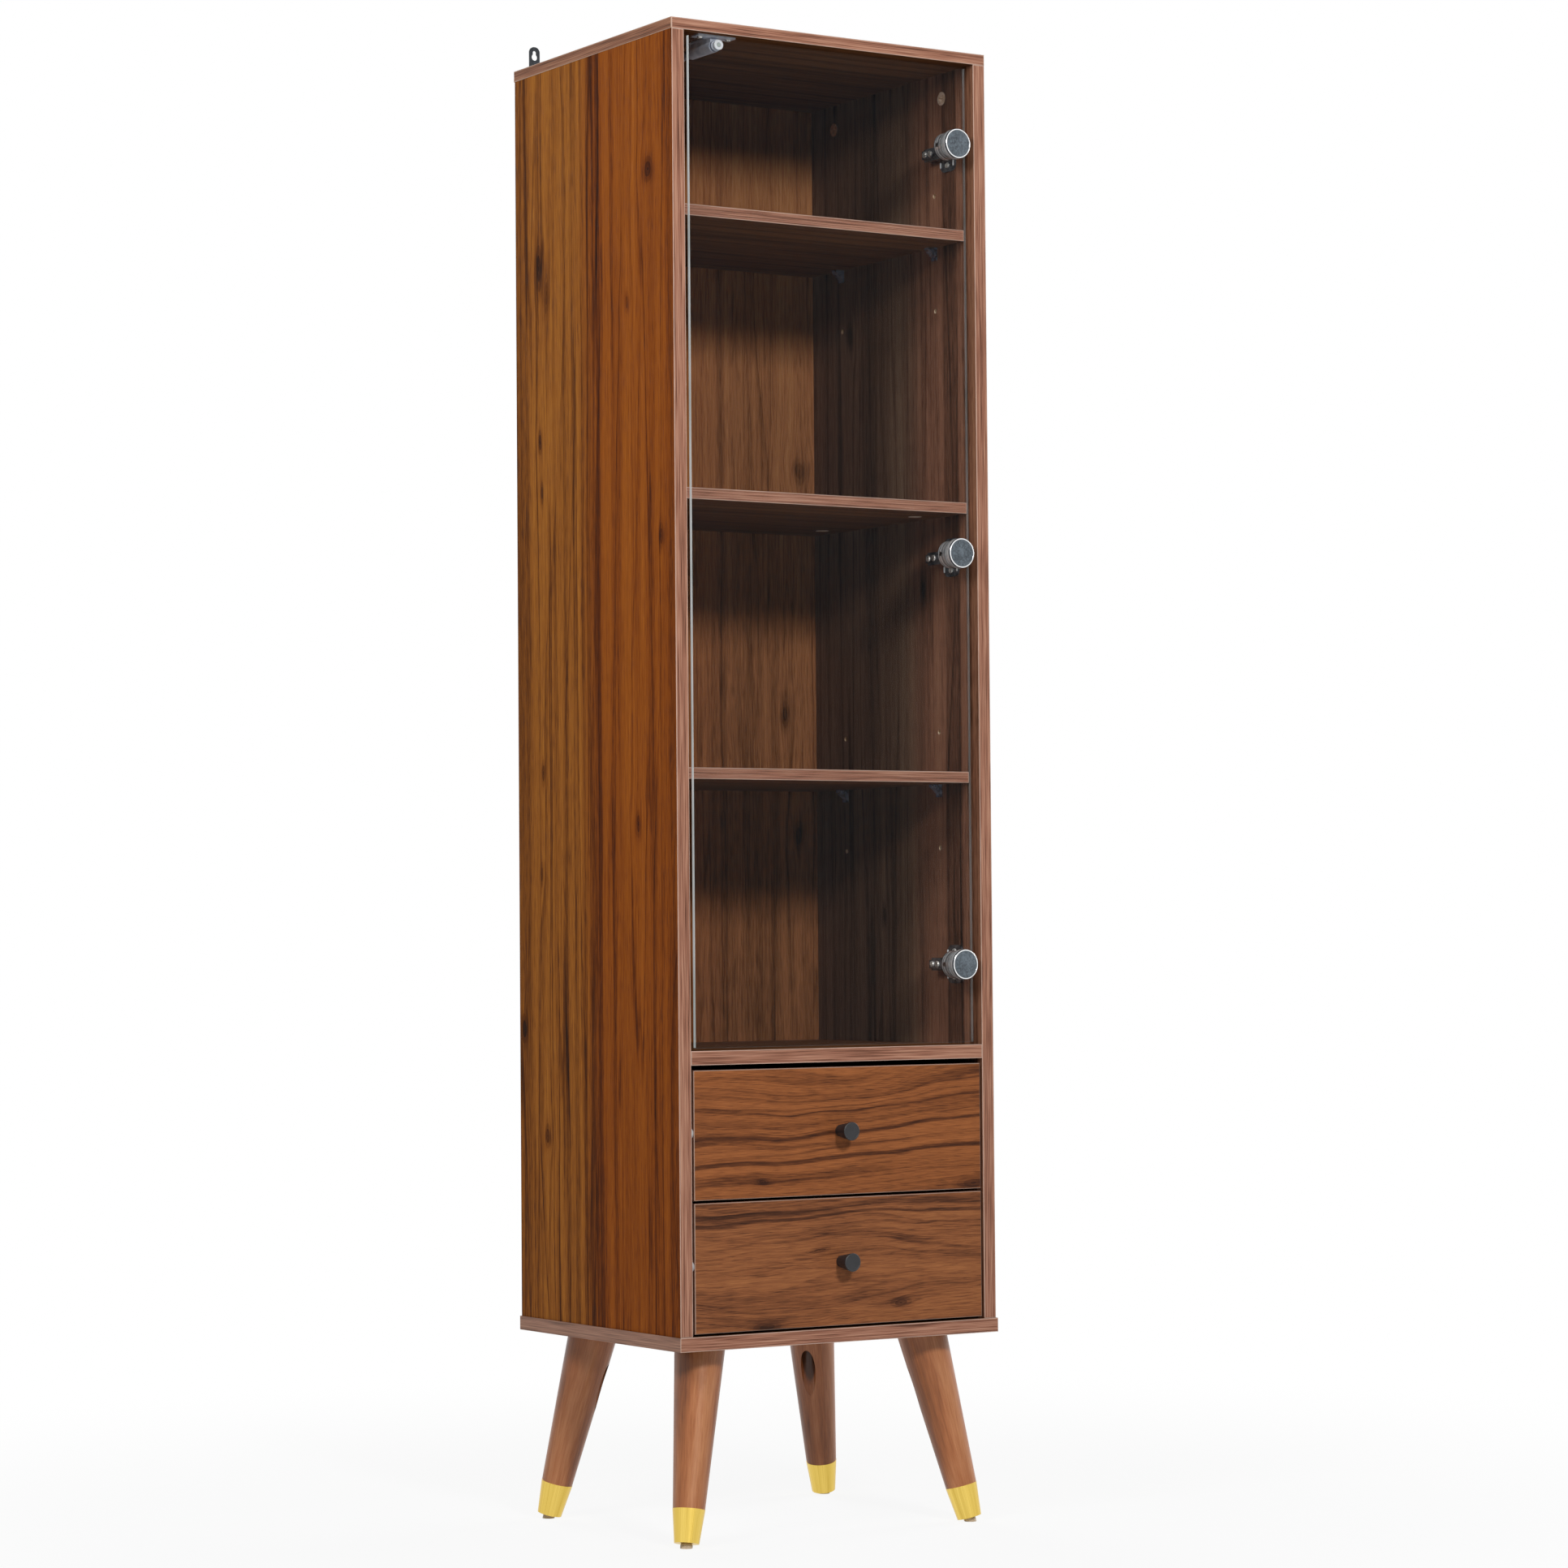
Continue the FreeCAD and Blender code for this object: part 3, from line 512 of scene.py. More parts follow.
@dataclass(frozen=True)
class EdgingFoil:
    """Thin edging with fine lines along its length and a lighter arris, partly wear and partly a
    painted highlight.
    """

    tones: tuple[str, ...] = ("5f3b2d", "a26e58", "c5947b")
    # The arris colour is partly wear and partly a painted highlight of the rounded edge.
    arris: str = "d0b09f"
    base: float = 0.54
    rub_highlight_grain: float = 90.0
    sheen: Sheen = Sheen(0.4, 0.14, 0.15, 0.00012, 0.5)

    def paint(self, shader: Shader, across: Signal, along: Signal) -> tuple[Signal, Signal]:
        """Draw the lines.

        Args:
            shader: Material that is being made.
            across: Distance over the edging.
            along: Distance along the edging.

        Returns:
            Colour and height of the lines.
        """
        grain = Grain(shader, across, along)
        fine, slow = grain.noise(FOIL_FINE), grain.noise(FOIL_SLOW)
        tone = (fine - HALF) * FOIL_FINE.weight + (slow - HALF) * FOIL_SLOW.weight + self.base
        return shader.ramp(tone, (0.1, 0.5, 0.95), self.tones), fine

    def material(self, along: Axis, across: Axis) -> Material:
        """Finish of the strips that run one way.

        Args:
            along: Axis of their length.
            across: Axis of their width.

        Returns:
            The material, which reads the strips' arris attribute.
        """
        shader = Shader.named(f"edging_along_{along.name.lower()}")
        place = shader.place()
        colour, height = self.paint(shader, place[across], place[along])
        # Painted highlight: the arris is lightened along the rounded edge, partly wear and partly
        # its highlight.
        rub_and_highlight = shader.noise(place, self.rub_highlight_grain) * 0.6 + 0.5
        wear_and_highlight = shader.attribute("arris").rise(0.15, 0.7) * rub_and_highlight
        colour = shader.mix(wear_and_highlight, colour, self.arris)
        return shader.surface(self.sheen.sockets(shader, colour, height))


@dataclass(frozen=True)
class BoardFinish:
    """Printed faces of a board, with raw core in its drillings and on its bare edges.

    The outer tint is for the face that looks to the right: it lifts a darkened print, which holds
    painted shade, back up on that face. With it, the inner tint paints shade, darker and cooler,
    on the rear part of the other face. The arris is the pale edge of a rounded board, partly wear
    and partly a painted highlight.
    """

    face: Axis
    across: Axis
    along: Axis
    print: WalnutPrint
    foil: EdgingFoil = EdgingFoil()
    core: RawCore = RawCore()
    cut: CutEdge = CutEdge.RAW
    edged_from: float | None = None
    outer: Colour | None = None
    inner: str = "ffffff"
    painted_shade_from: Pair = (-0.07, -0.01)
    flat: Pair = (0.6, 0.8)
    arris: str | None = None
    rub_highlight_grain: float = 60.0
    sheen: Sheen = Sheen(0.5, 0.12, 0.03)

    def material(self, node: str) -> Material:
        """Finish of one board.

        Args:
            node: Board that it is for.

        Returns:
            The material.
        """
        shader = Shader.named(f"print_{node}")
        place, facing = shader.place(), shader.facing()
        colour, height = self.print.paint(shader, place[self.across], place[self.along])
        # Painted shade: the outer tint lifts a darkened print on the outward face, and the inner
        # tint darkens and cools the rear of the inward face.
        if self.outer is not None:
            outside = facing[self.face].rise(0.5, 0.8)
            rear = place[self.across].rise(*self.painted_shade_from)
            inside = shader.mix(rear, WHITE, self.inner)
            tint = shader.mix(outside, inside, self.outer)
            colour = shader.mix(1.0, colour, tint, "MULTIPLY")
        bare = self.core.paint(shader, place)
        if self.cut is CutEdge.FOILED:
            bare, _ = self.foil.paint(shader, place[self.face], place[self.along])
        elif self.edged_from is not None:
            foil, _ = self.foil.paint(shader, place[Axis.Z], place[Axis.Y])
            foil = shader.mix(0.3, foil, self.foil.arris)
            bare = shader.mix(abs(place[Axis.X]) > self.edged_from, bare, foil)
        flat = abs(facing[self.face])
        colour = shader.mix(flat.rise(*self.flat), bare, colour)
        if self.arris is not None:
            # Painted highlight: the rounded edge is lightened, partly wear and partly its
            # highlight.
            wear_and_highlight = flat.rise(0.08, 0.3) * flat.rise(0.99, 0.9)
            rub_and_highlight = shader.noise(place, self.rub_highlight_grain) * 0.5 + 0.6
            colour = shader.mix(wear_and_highlight * rub_and_highlight, colour, self.arris)
        return shader.surface(self.sheen.sockets(shader, colour, height))


@dataclass(frozen=True)
class LegLine:
    """Middle line of a splayed leg, the same at each corner by mirroring."""

    top_x: float = 0.1413
    top_y: float = 0.1119
    splay_x: float = 0.0392
    splay_y: float = 0.0343
    middle_y: float = 0.0115
    height: float = 0.206
    top_radius: float = 0.027
    taper: float = 0.0599

    def around(self, shader: Shader) -> Spot:
        """Find the place in a leg.

        Args:
            shader: Material that is being made.

        Returns:
            Distance sideways from the middle line, backwards from it, and height.
        """
        x, y, z = shader.place()
        down = 1.0 - z / self.height
        side = abs(x) - self.top_x - down * self.splay_x
        back = abs(y - self.middle_y) - self.top_y - down * self.splay_y
        return side, back, z

    def skin(self, height: Signal) -> Signal:
        """Radius of the leg at a height."""
        return (height - self.height) * self.taper + self.top_radius


@dataclass(frozen=True)
class LegWood:
    """Stained solid wood with a satin lacquer, with painted shade darkening the bolt pockets."""

    line: LegLine = LegLine()
    tones: tuple[str, ...] = ("67371c", "ab673b", "cd8d60")
    pocket_shade: str = "3b2417"
    sheen: Sheen = Sheen(0.27, 0.12, 0.45, 0.0001, 0.4)

    def material(self) -> Material:
        """Finish of the legs.

        Returns:
            The material.
        """
        shader = Shader.named("leg_lacquer")
        side, back, up = self.line.around(shader)
        slow = shader.noise((side, back, up), (55.0, 55.0, 5.0), 3.0, 0.55)
        fine = shader.noise((side, back, up), (620.0, 620.0, 22.0), 2.0, 0.6)
        tone = (slow - HALF) * 1.35 + (fine - HALF) * 0.45 + HALF
        wood = shader.ramp(tone, (0.1, 0.5, 0.9), self.tones)
        # Painted shade: the wood is darkened inside the bolt pockets, where shade falls.
        depth = self.line.skin(up) - (side * side + back * back) ** 0.5
        colour = shader.mix(depth.rise(0.0018, 0.006) * 0.85, wood, self.pocket_shade)
        return shader.surface(self.sheen.sockets(shader, colour, fine))


@dataclass(frozen=True)
class BrushedBrass:
    """Golden ferrule, brushed down the leg."""

    line: LegLine = LegLine()
    tones: tuple[str, ...] = ("bd9a34", "ffe07a")
    sheen: Sheen = Sheen(0.2, 0.22, depth=0.00008, relief=0.5)

    def material(self) -> Material:
        """Finish of the ferrules.

        Returns:
            The material.
        """
        shader = Shader.named("brushed_brass")
        side, back, up = self.line.around(shader)
        reach = (side * side + back * back + 1e-9) ** 0.5
        round_leg = (side / reach, back / reach, up)
        brushed = shader.noise(round_leg, (34.0, 34.0, 16.0), 3.0, 0.65)
        broad = shader.noise(round_leg, (2.5, 2.5, 3.0), 1.0)
        colour = shader.mix(brushed + (broad - HALF) * 0.8, *self.tones)
        return shader.surface({**self.sheen.sockets(shader, colour, brushed), "Metallic": 1.0})


@dataclass(frozen=True)
class MetalFinish:
    """Plated or painted metal with a slight mottle; turned metal has lines round its axis."""

    name: str
    low: str
    high: str
    metallic: float = 1.0
    rough: float = 0.2
    spread: float = 0.1
    grain: float = 300.0
    turned: float = 0.0
    film: str | None = None

    def material(self) -> Material:
        """Make the finish.

        Returns:
            The material; with a film, the film attribute gives the parts that it covers.
        """
        shader = Shader.named(self.name)
        place = shader.place()
        mottle = shader.noise(place, self.grain, 3.0, 0.6)
        if self.turned:
            lines = shader.noise((0.0, place[Axis.Y], 0.0), 420.0, 2.0, 0.6)
            mottle = mottle * (1.0 - self.turned) + lines.rise(0.38, 0.62) * self.turned
        colour = shader.mix(mottle.rise(0.3, 0.7), self.low, self.high)
        sockets = Sheen(self.rough, self.spread, depth=0.00003, relief=0.4).sockets(
            shader, colour, mottle)
        if self.film is not None:
            covered = shader.attribute("film")
            speck = shader.noise(place, 520.0, 4.0, 0.8)
            blotch = (shader.noise(place, 70.0) - HALF) * 0.4
            pale = shade(self.film)
            dull = tuple(part * 0.3 for part in pale[:3]) + (1.0,)
            film = shader.mix((speck + blotch).rise(0.28, 0.76), dull, pale)
            sockets["Base Color"] = shader.mix(covered.rise(0.4, 0.6), colour, film)
            sockets["Roughness"] = sockets["Roughness"] + covered * 0.12
        return shader.surface({**sockets, "Metallic": self.metallic})


@dataclass(frozen=True)
class PlasticFinish:
    """Moulded plastic, from solid to clear."""

    name: str
    low: str
    high: str
    alpha: float = 1.0
    rough: float = 0.35
    grain: float = 700.0
    flow_grain: float = 120.0

    def material(self) -> Material:
        """Make the finish.

        Returns:
            The material.
        """
        shader = Shader.named(self.name)
        place = shader.place()
        mottle = shader.noise(place, self.grain)
        flow = shader.noise(place, self.flow_grain)
        colour = shader.mix(flow.rise(0.25, 0.75), self.low, self.high)
        sockets = Sheen(self.rough, 0.15, depth=0.00003, relief=0.4).sockets(
            shader, colour, mottle)
        if self.alpha < 1.0:
            sockets["Alpha"] = (flow - HALF) * 0.2 + self.alpha
        return shader.surface(sockets)


@dataclass(frozen=True)
class LatchEndFinish:
    """Pale disc with a dark ring round a grey middle, on the latch's plunger and strike."""

    axis_x: float
    axis_z: float
    face: str = "e2e4e7"
    ring: str = "6a7078"
    middle: str = "9aa69d"
    grain: float = 900.0
    sheen: Sheen = Sheen(0.28, 0.15, depth=0.00003, relief=0.4)

    def material(self) -> Material:
        """Make the finish, with its rings centred on the latch.

        Returns:
            The material.
        """
        shader = Shader.named("latch_end")
        place = shader.place()
        side, up = place[Axis.X] - self.axis_x, place[Axis.Z] - self.axis_z
        reach = (side * side + up * up) ** 0.5
        mottle = shader.noise(place, self.grain)
        colour = shader.mix(reach.rise(0.0020, 0.0018), self.face, self.middle)
        ring = reach.rise(0.0019, 0.0021) * reach.rise(0.0026, 0.0024)
        colour = shader.mix(ring, colour, self.ring)
        colour = shader.mix(mottle * 0.25, colour, WHITE)
        return shader.surface(self.sheen.sockets(shader, colour, mottle))


@dataclass(frozen=True)
class PaneGlass:
    """Clear pane with greenish cut edges that carry painted light: pale, faintly emitting, and
    dimmer on three sides than on the left.
    """

    right: float
    top: float
    foot: float
    margin: float = 0.0008
    body: str = "33373b"
    edge_low: str = "c6d1cf"
    edge: str = "eef3f2"
    clear: float = 0.055
    edge_alpha: float = 0.9
    # Painted light: the edges' emission strength, and how far the top, right and foot edges are
    # dimmed against the left one.
    painted_edge_glow: float = 0.38
    top_painted_dim: float = 0.99
    right_painted_dim: float = 0.66
    foot_painted_dim: float = 0.8
    smear_share: float = 0.03

    def material(self) -> Material:
        """Make the finish; its edges emit a little, painting in the light that the pane guides to
        them.

        Returns:
            The material.
        """
        shader = Shader.named("pane_glass")
        place = shader.place()
        x, _, z = place
        # Painted light: the edge mask gives a pale colour and a faint emission, taken down on the
        # top, right and foot edges so that the left edge shows lightest.
        rim = abs(shader.facing()[Axis.Y]).rise(0.9, 0.6)
        rim = rim * (1.0 - (z > self.top - self.margin) * self.top_painted_dim)
        rim = rim * (1.0 - (x > self.right - self.margin) * self.right_painted_dim)
        rim = rim * (1.0 - (z < self.foot + self.margin) * self.foot_painted_dim)
        smear = shader.noise(place, (9.0, 9.0, 3.0), 3.0, 0.6)
        streak = smear * self.smear_share
        ripple = shader.noise(place, 9.0).rise(0.3, 0.7)
        edge = shader.mix(ripple, self.edge_low, self.edge)
        return shader.surface({
            "Base Color": shader.mix(rim, self.body, edge), "Roughness": streak + 0.01,
            "Emission Color": shader.mix(rim, BLACK, edge), "Emission Strength": self.painted_edge_glow,
            "Alpha": rim * (self.edge_alpha - self.clear) + streak + (self.clear - 0.015),
            "IOR": 1.5, "Normal": shader.bump(smear, 0.00002, 0.1)})


@dataclass
class Bench:
    """What the sub-assemblies share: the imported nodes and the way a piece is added."""

    nodes: dict[str, bpy.types.Object]

    def dress(self, material: Material, *names: str) -> None:
        """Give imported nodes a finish.

        Args:
            material: The finish.
            names: The nodes.
        """
        for name in names:
            for slot in self.nodes[name].material_slots:
                slot.material = material
            log.info("dressed %s in %s", name, material.name)

    def add(self, name: str, shape: BMesh, material: Material, body: str,
            slot: str, replaced: Iterable[str] = ()) -> None:
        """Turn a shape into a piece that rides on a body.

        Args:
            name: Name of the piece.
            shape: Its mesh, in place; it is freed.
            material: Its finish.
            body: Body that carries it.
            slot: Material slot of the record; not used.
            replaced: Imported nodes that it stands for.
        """
        mesh = bpy.data.meshes.new(name)
        shape.to_mesh(mesh)
        shape.free()
        mesh.materials.append(material)
        mesh.polygons.foreach_set("use_smooth", [True] * len(mesh.polygons))
        mesh.set_sharp_from_angle(angle=SHARP_ANGLE)
        piece = stood(name, mesh)
        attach(piece, body)
        if replaced:
            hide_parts(*replaced)
        log.info("made %s with %d faces on %s", name, len(mesh.polygons), body)


def stood(name: str, data: bpy.types.ID) -> bpy.types.Object:
    """Put a new object in the scene.

    Args:
        name: Its name.
        data: Its mesh, lamp or lens.

    Returns:
        The object.
    """
    made = bpy.data.objects.new(name, data)
    bpy.context.scene.collection.objects.link(made)
    return made


def turned(outline: Sequence[Pair], steps: int) -> BMesh:
    """Turn an outline about Z.

    Args:
        outline: Radius and height of each corner, in order.
        steps: Faces round the shape.

    Returns:
        The closed shape.
    """
    shape = bmesh.new()
    corners = [shape.verts.new((radius, 0.0, height)) for radius, height in outline]
    runs = [shape.edges.new(pair) for pair in zip(corners, corners[1:])]
    bmesh.ops.spin(shape, geom=corners + runs, cent=(0, 0, 0), axis=(0, 0, 1),
                   angle=2 * math.pi, steps=steps, use_merge=True)
    bmesh.ops.remove_doubles(shape, verts=shape.verts, dist=1e-7)
    bmesh.ops.recalc_face_normals(shape, faces=shape.faces)
    return shape


def soften(shape: BMesh, edges: Iterable[bmesh.types.BMEdge], radius: float,
           segments: int) -> None:
    """Round some edges of a shape, with a number of segments over the rounding."""
    bmesh.ops.bevel(shape, geom=list(edges), offset=radius, affect="EDGES", segments=segments,
                    profile=0.5, material=-1, clamp_overlap=True)


def face_front(shape: BMesh, middle: Place | Vector) -> BMesh:
    """Turn an upright shape towards the front and move it to its place.

    Args:
        shape: The shape, with its foot at the origin.
        middle: Where its foot goes.

    Returns:
        The same shape.
    """
    stand = Matrix.Translation(middle) @ Matrix.Rotation(math.pi / 2, 4, "X")
    bmesh.ops.transform(shape, matrix=stand, verts=shape.verts)
    return shape


def off_axis(vert: bmesh.types.BMVert) -> float:
    """Distance of a corner from the Z axis."""
    return math.hypot(vert.co.x, vert.co.y)


def gather(shapes: Iterable[BMesh]) -> BMesh:
    """Put several shapes into one and free them.

    Args:
        shapes: The shapes, each in place.

    Returns:
        The joined shape.
    """
    whole = bmesh.new()
    scratch = bpy.data.meshes.new("scratch")
    for shape in shapes:
        shape.to_mesh(scratch)
        shape.free()
        whole.from_mesh(scratch)
    bpy.data.meshes.remove(scratch)
    return whole


@dataclass
class Edging:
    """Strips of edging on the boards' seen edges."""

    bench: Bench
    foil: EdgingFoil = EdgingFoil()
    # Painted shade: a darker copy of the edging foil, for the top's left and right edges, which
    # lie in shade.
    shaded_side_foil: EdgingFoil = EdgingFoil(("56331f", "946046", "b78566"), "c4a48f")
    thickness: float = 0.0004
    rim: float = 0.0012
    rounding: float = 0.00028
    fronts: tuple[str, ...] = ("side_panel_left", "side_panel_right", "top_panel", "bottom_panel",
                               "divider_panel", "shelf_upper", "shelf_middle", "shelf_lower")

    def strip(self, board: str, edge: Edge) -> BMesh:
        """Strip on one edge of a board.

        Args:
            board: Node that carries it.
            edge: Side of the board.

        Returns:
            The strip, in place, with its arris attribute.
        """
        low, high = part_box(board)
        way = Vector(edge.value)
        size, middle = high - low, (high + low) / 2
        for axis in Axis:
            if way[axis]:
                middle[axis] += way[axis] * (size[axis] + self.thickness) / 2
                size[axis] = self.thickness
        shape = bmesh.new()
        # This attribute marks the arris that the finish lightens: partly wear, partly a painted
        # highlight.
        wear_and_highlight = shape.verts.layers.float.new("arris")
        stand = Matrix.Translation(middle) @ Matrix.Diagonal(size).to_4x4()
        bmesh.ops.create_cube(shape, size=1.0, matrix=stand)
        shape.normal_update()
        seen = next(face for face in shape.faces if face.normal.dot(way) > 0.9)
        outer = list(seen.edges)
        bmesh.ops.inset_region(shape, faces=[seen], thickness=self.rim, use_even_offset=True)
        inner = set(seen.verts)
        soften(shape, outer, self.rounding, 2)
        for vert in shape.verts:
            vert[wear_and_highlight] = 0.0 if vert in inner else 1.0
        return shape

    def build(self) -> None:
        """Make every strip."""
        upright = self.foil.material(Axis.Z, Axis.X)
        level = self.foil.material(Axis.X, Axis.Z)
        # Painted shade: the darker copy of the foil goes on the top's side edges.
        deep = self.shaded_side_foil.material(Axis.Y, Axis.Z)
        strips = [(f"edging_{board}", board, Edge.FRONT,
                   upright if board.startswith("side") else level) for board in self.fronts]
        strips += [(f"edging_top_{edge.name.lower()}", "top_panel", edge, deep)
                   for edge in (Edge.LEFT, Edge.RIGHT)]
        for name, board, edge, finish in strips:
            self.bench.add(name, self.strip(board, edge), finish, "carcass", "panel_wood")


@dataclass
class Carcass:
    """Boards of the case, the loose shelves and the joints that hold them."""

    bench: Bench
    side_left: WalnutPrint = WalnutPrint(
        1.3, ("281206", "6a3a17", "a3632c", "bf7c38", "d8994f"), "e8c8a2", "fffbe8",
        # The falloff on this panel is painted shade: its print darkens towards the bottom.
        turn=0.012, planks=20.0, lines=26.0, threads=34.0, veins=0.26, painted_falloff=0.055,
        bands=(Band(0.013, 0.007, 0.15, 0.009), Band(0.0, 0.0025, 0.24, 0.003),
               Band(-0.018, 0.005, -0.08), Band(-0.030, 0.002, 0.14),
               Band(0.168, 0.010, 0.14, 0.012), Band(0.034, 0.0015, 0.16),
               Band(0.052, 0.003, 0.12), Band(0.074, 0.0015, 0.16), Band(0.096, 0.0012, 0.10),
               Band(-0.150, 0.006, 0.12), Band(-0.112, 0.002, 0.08)),
        knots=(Knot(-0.108, 1.449, 0.007, 0.012), Knot(0.128, 1.374, 0.006, 0.022, 0.9),
               Knot(0.112, 1.345, 0.005, 0.018, 0.5), Knot(-0.060, 1.313, 0.005, 0.011, 0.6),
               Knot(0.127, 1.182, 0.004, 0.012, 0.9), Knot(0.125, 1.126, 0.003, 0.012, 0.7),
               Knot(-0.131, 1.058, 0.005, 0.012, 0.7), Knot(0.125, 0.818, 0.004, 0.013, 0.9),
               Knot(-0.082, 0.757, 0.006, 0.012, 0.7), Knot(0.130, 0.707, 0.003, 0.013, 0.7),
               Knot(0.169, 0.537, 0.006, 0.014, 0.8), Knot(0.119, 0.421, 0.006, 0.012, 0.8),
               Knot(-0.039, 0.482, 0.003, 0.040, 0.6)))
    # Painted shade: the right panel's print is a darkened, greyer copy for its shaded inner face;
    # the outer tint lifts it back on the outer face, and the inner tint darkens and cools the rear
    # of the inner face.
    side_right_shaded: WalnutPrint = WalnutPrint(
        5.9, ("27160e", "5d3d2c", "8d604a", "a6775b", "be9171"), planks=24.0, veins=0.2,
        bands=(Band(-0.112, 0.012, 0.22), Band(-0.142, 0.003, 0.18), Band(0.05, 0.014, 0.12)),
        knots=(Knot(-0.055, 1.02, 0.005, 0.014), Knot(0.03, 0.66), Knot(0.09, 1.32, 0.005, 0.016)))
    right_outside_lift: Colour = (1.42, 1.14, 0.58, 1.0)
    right_rear_painted_shade: str = "d2ebf2"
    back: WalnutPrint = WalnutPrint(
        9.2, ("2c180d", "644228", "946546", "b07f58", "c99c70"), "ffe9d0", "fff2de",
        # The falloff on the back is painted shade: its print darkens towards the bottom.
        turn=0.07, planks=19.0, lines=26.0, veins=0.18, wander=7.0, sway=0.005, painted_falloff=0.2,
        bands=(Band(0.06, 0.003, 0.16), Band(-0.05, 0.01, 0.14)),
        knots=(Knot(0.145, 0.892, 0.0045, 0.015, 0.7), Knot(0.165, 1.173, 0.010, 0.014, 0.5, 0.7),
               Knot(0.161, 0.752, 0.007, 0.016, 0.7), Knot(-0.09, 1.25, 0.006, 0.016),
               Knot(-0.02, 0.62, 0.006, 0.016)))
    # Painted shade: this print of the top, divider, shelves and bottom is a darkened copy, made to
    # the look of their shaded undersides.
    level: WalnutPrint = WalnutPrint(3.4, ("211109", "472a19", "674228", "7d5334", "946847"),
                                     planks=20.0, veins=0.22)
    bottom_edge: float = 0.2011

    def build(self) -> None:
        """Dress the boards and their joints."""
        dress = self.bench.dress
        left = BoardFinish(Axis.X, Axis.Y, Axis.Z, self.side_left)
        right = BoardFinish(Axis.X, Axis.Y, Axis.Z, self.side_right_shaded,
                            outer=self.right_outside_lift, inner=self.right_rear_painted_shade)
        back = BoardFinish(Axis.Y, Axis.X, Axis.Z, self.back)
        base = BoardFinish(Axis.Z, Axis.Y, Axis.X, self.level, edged_from=self.bottom_edge)
        for finish, board in ((left, "side_panel_left"), (right, "side_panel_right"),
                              (back, "back_panel"), (base, "bottom_panel")):
            dress(finish.material(board), board)
        flat = BoardFinish(Axis.Z, Axis.Y, Axis.X, self.level)
        dress(flat.material("level_boards"), "top_panel", "divider_panel",
              "shelf_upper", "shelf_middle", "shelf_lower")
        for fitting, *names in (
                (MetalFinish("bright_zinc", "8f8c86", "c4c1ba", 1.0, 0.3, 0.2), "cam_bolts"),
                (MetalFinish("cam_zinc", "dcb692", "ffeedc", 0.1, 0.35, 0.2), "cam_locks"),
                (PlasticFinish("clear_plastic", "676d80", "a5acc0", 0.6, 0.12), "shelf_supports"),
                # Painted highlight: the clear bumper domes are made pale white and nearly opaque,
                # standing in for their highlights.
                (PlasticFinish("bumper_plastic_painted_highlight", "dfe4e8", "ffffff", 0.9, 0.1),
                 "drawer_upper_bumper", "drawer_lower_bumper")):
            dress(fitting.material(), *names)
        Edging(self.bench).build()


@dataclass(frozen=True)
class CrossScrew:
    """Pan-head screw with a cross recess, seated at the origin with its head up."""

    head: float
    rise: float
    shank: float
    length: float
    steps: int = 20
    flat: float = 0.56
    slot: float = 0.21
    dome: tuple[Pair, ...] = ((0.88, 0.86), (1.0, 0.35), (1.0, 0.0))

    def shape(self) -> BMesh:
        """Model the screw.

        Returns:
            The shape, with its seat at z = 0 and its shank below.
        """
        shape = bmesh.new()
        half = self.head * self.flat
        bmesh.ops.create_grid(shape, x_segments=5, y_segments=5, size=half,
                              matrix=Matrix.Translation((0, 0, self.rise)))
        middles = [(face, face.calc_center_median()) for face in shape.faces]
        cross = [face for face, spot in middles
                 if min(abs(spot.x), abs(spot.y)) < half * self.slot]
        rim = [edge for edge in shape.edges if edge.is_boundary]
        for wide, high in self.dome:
            stand = Matrix.Translation((0, 0, self.rise * high))
            ring = bmesh.ops.create_circle(shape, segments=self.steps, radius=self.head * wide,
                                           matrix=stand)["verts"]
            loop = list({edge for vert in ring for edge in vert.link_edges})
            bmesh.ops.bridge_loops(shape, edges=rim + loop)
            rim = loop
        bmesh.ops.inset_region(shape, faces=cross, thickness=self.head * 0.03,
                               depth=-self.head * 0.4, use_even_offset=True)
        for drop in (0.0, -self.length):
            grown = bmesh.ops.extrude_edge_only(shape, edges=rim)["geom"]
            verts = [item for item in grown if isinstance(item, bmesh.types.BMVert)]
            rim = [item for item in grown if isinstance(item, bmesh.types.BMEdge)
                   and all(vert in verts for vert in item.verts)]
            ratio = self.shank / off_axis(verts[0])
            bmesh.ops.scale(shape, vec=(ratio, ratio, 1.0), verts=verts)
            bmesh.ops.translate(shape, vec=(0, 0, drop), verts=verts)
        bmesh.ops.contextual_create(shape, geom=rim)
        bmesh.ops.recalc_face_normals(shape, faces=shape.faces)
        return shape

    def placed(self, seat: Place, way: Place, turn: float) -> BMesh:
        """Model the screw in its place.

        Args:
            seat: Middle of its seat.
            way: Direction in which it is driven.
            turn: How far its cross is turned.

        Returns:
            The shape.
        """
        shape = self.shape()
        upright = (-Vector(way)).to_track_quat("Z", "Y").to_matrix().to_4x4()
        stand = Matrix.Translation(seat) @ upright @ Matrix.Rotation(turn, 4, "Z")
        bmesh.ops.transform(shape, matrix=stand, verts=shape.verts)
        return shape


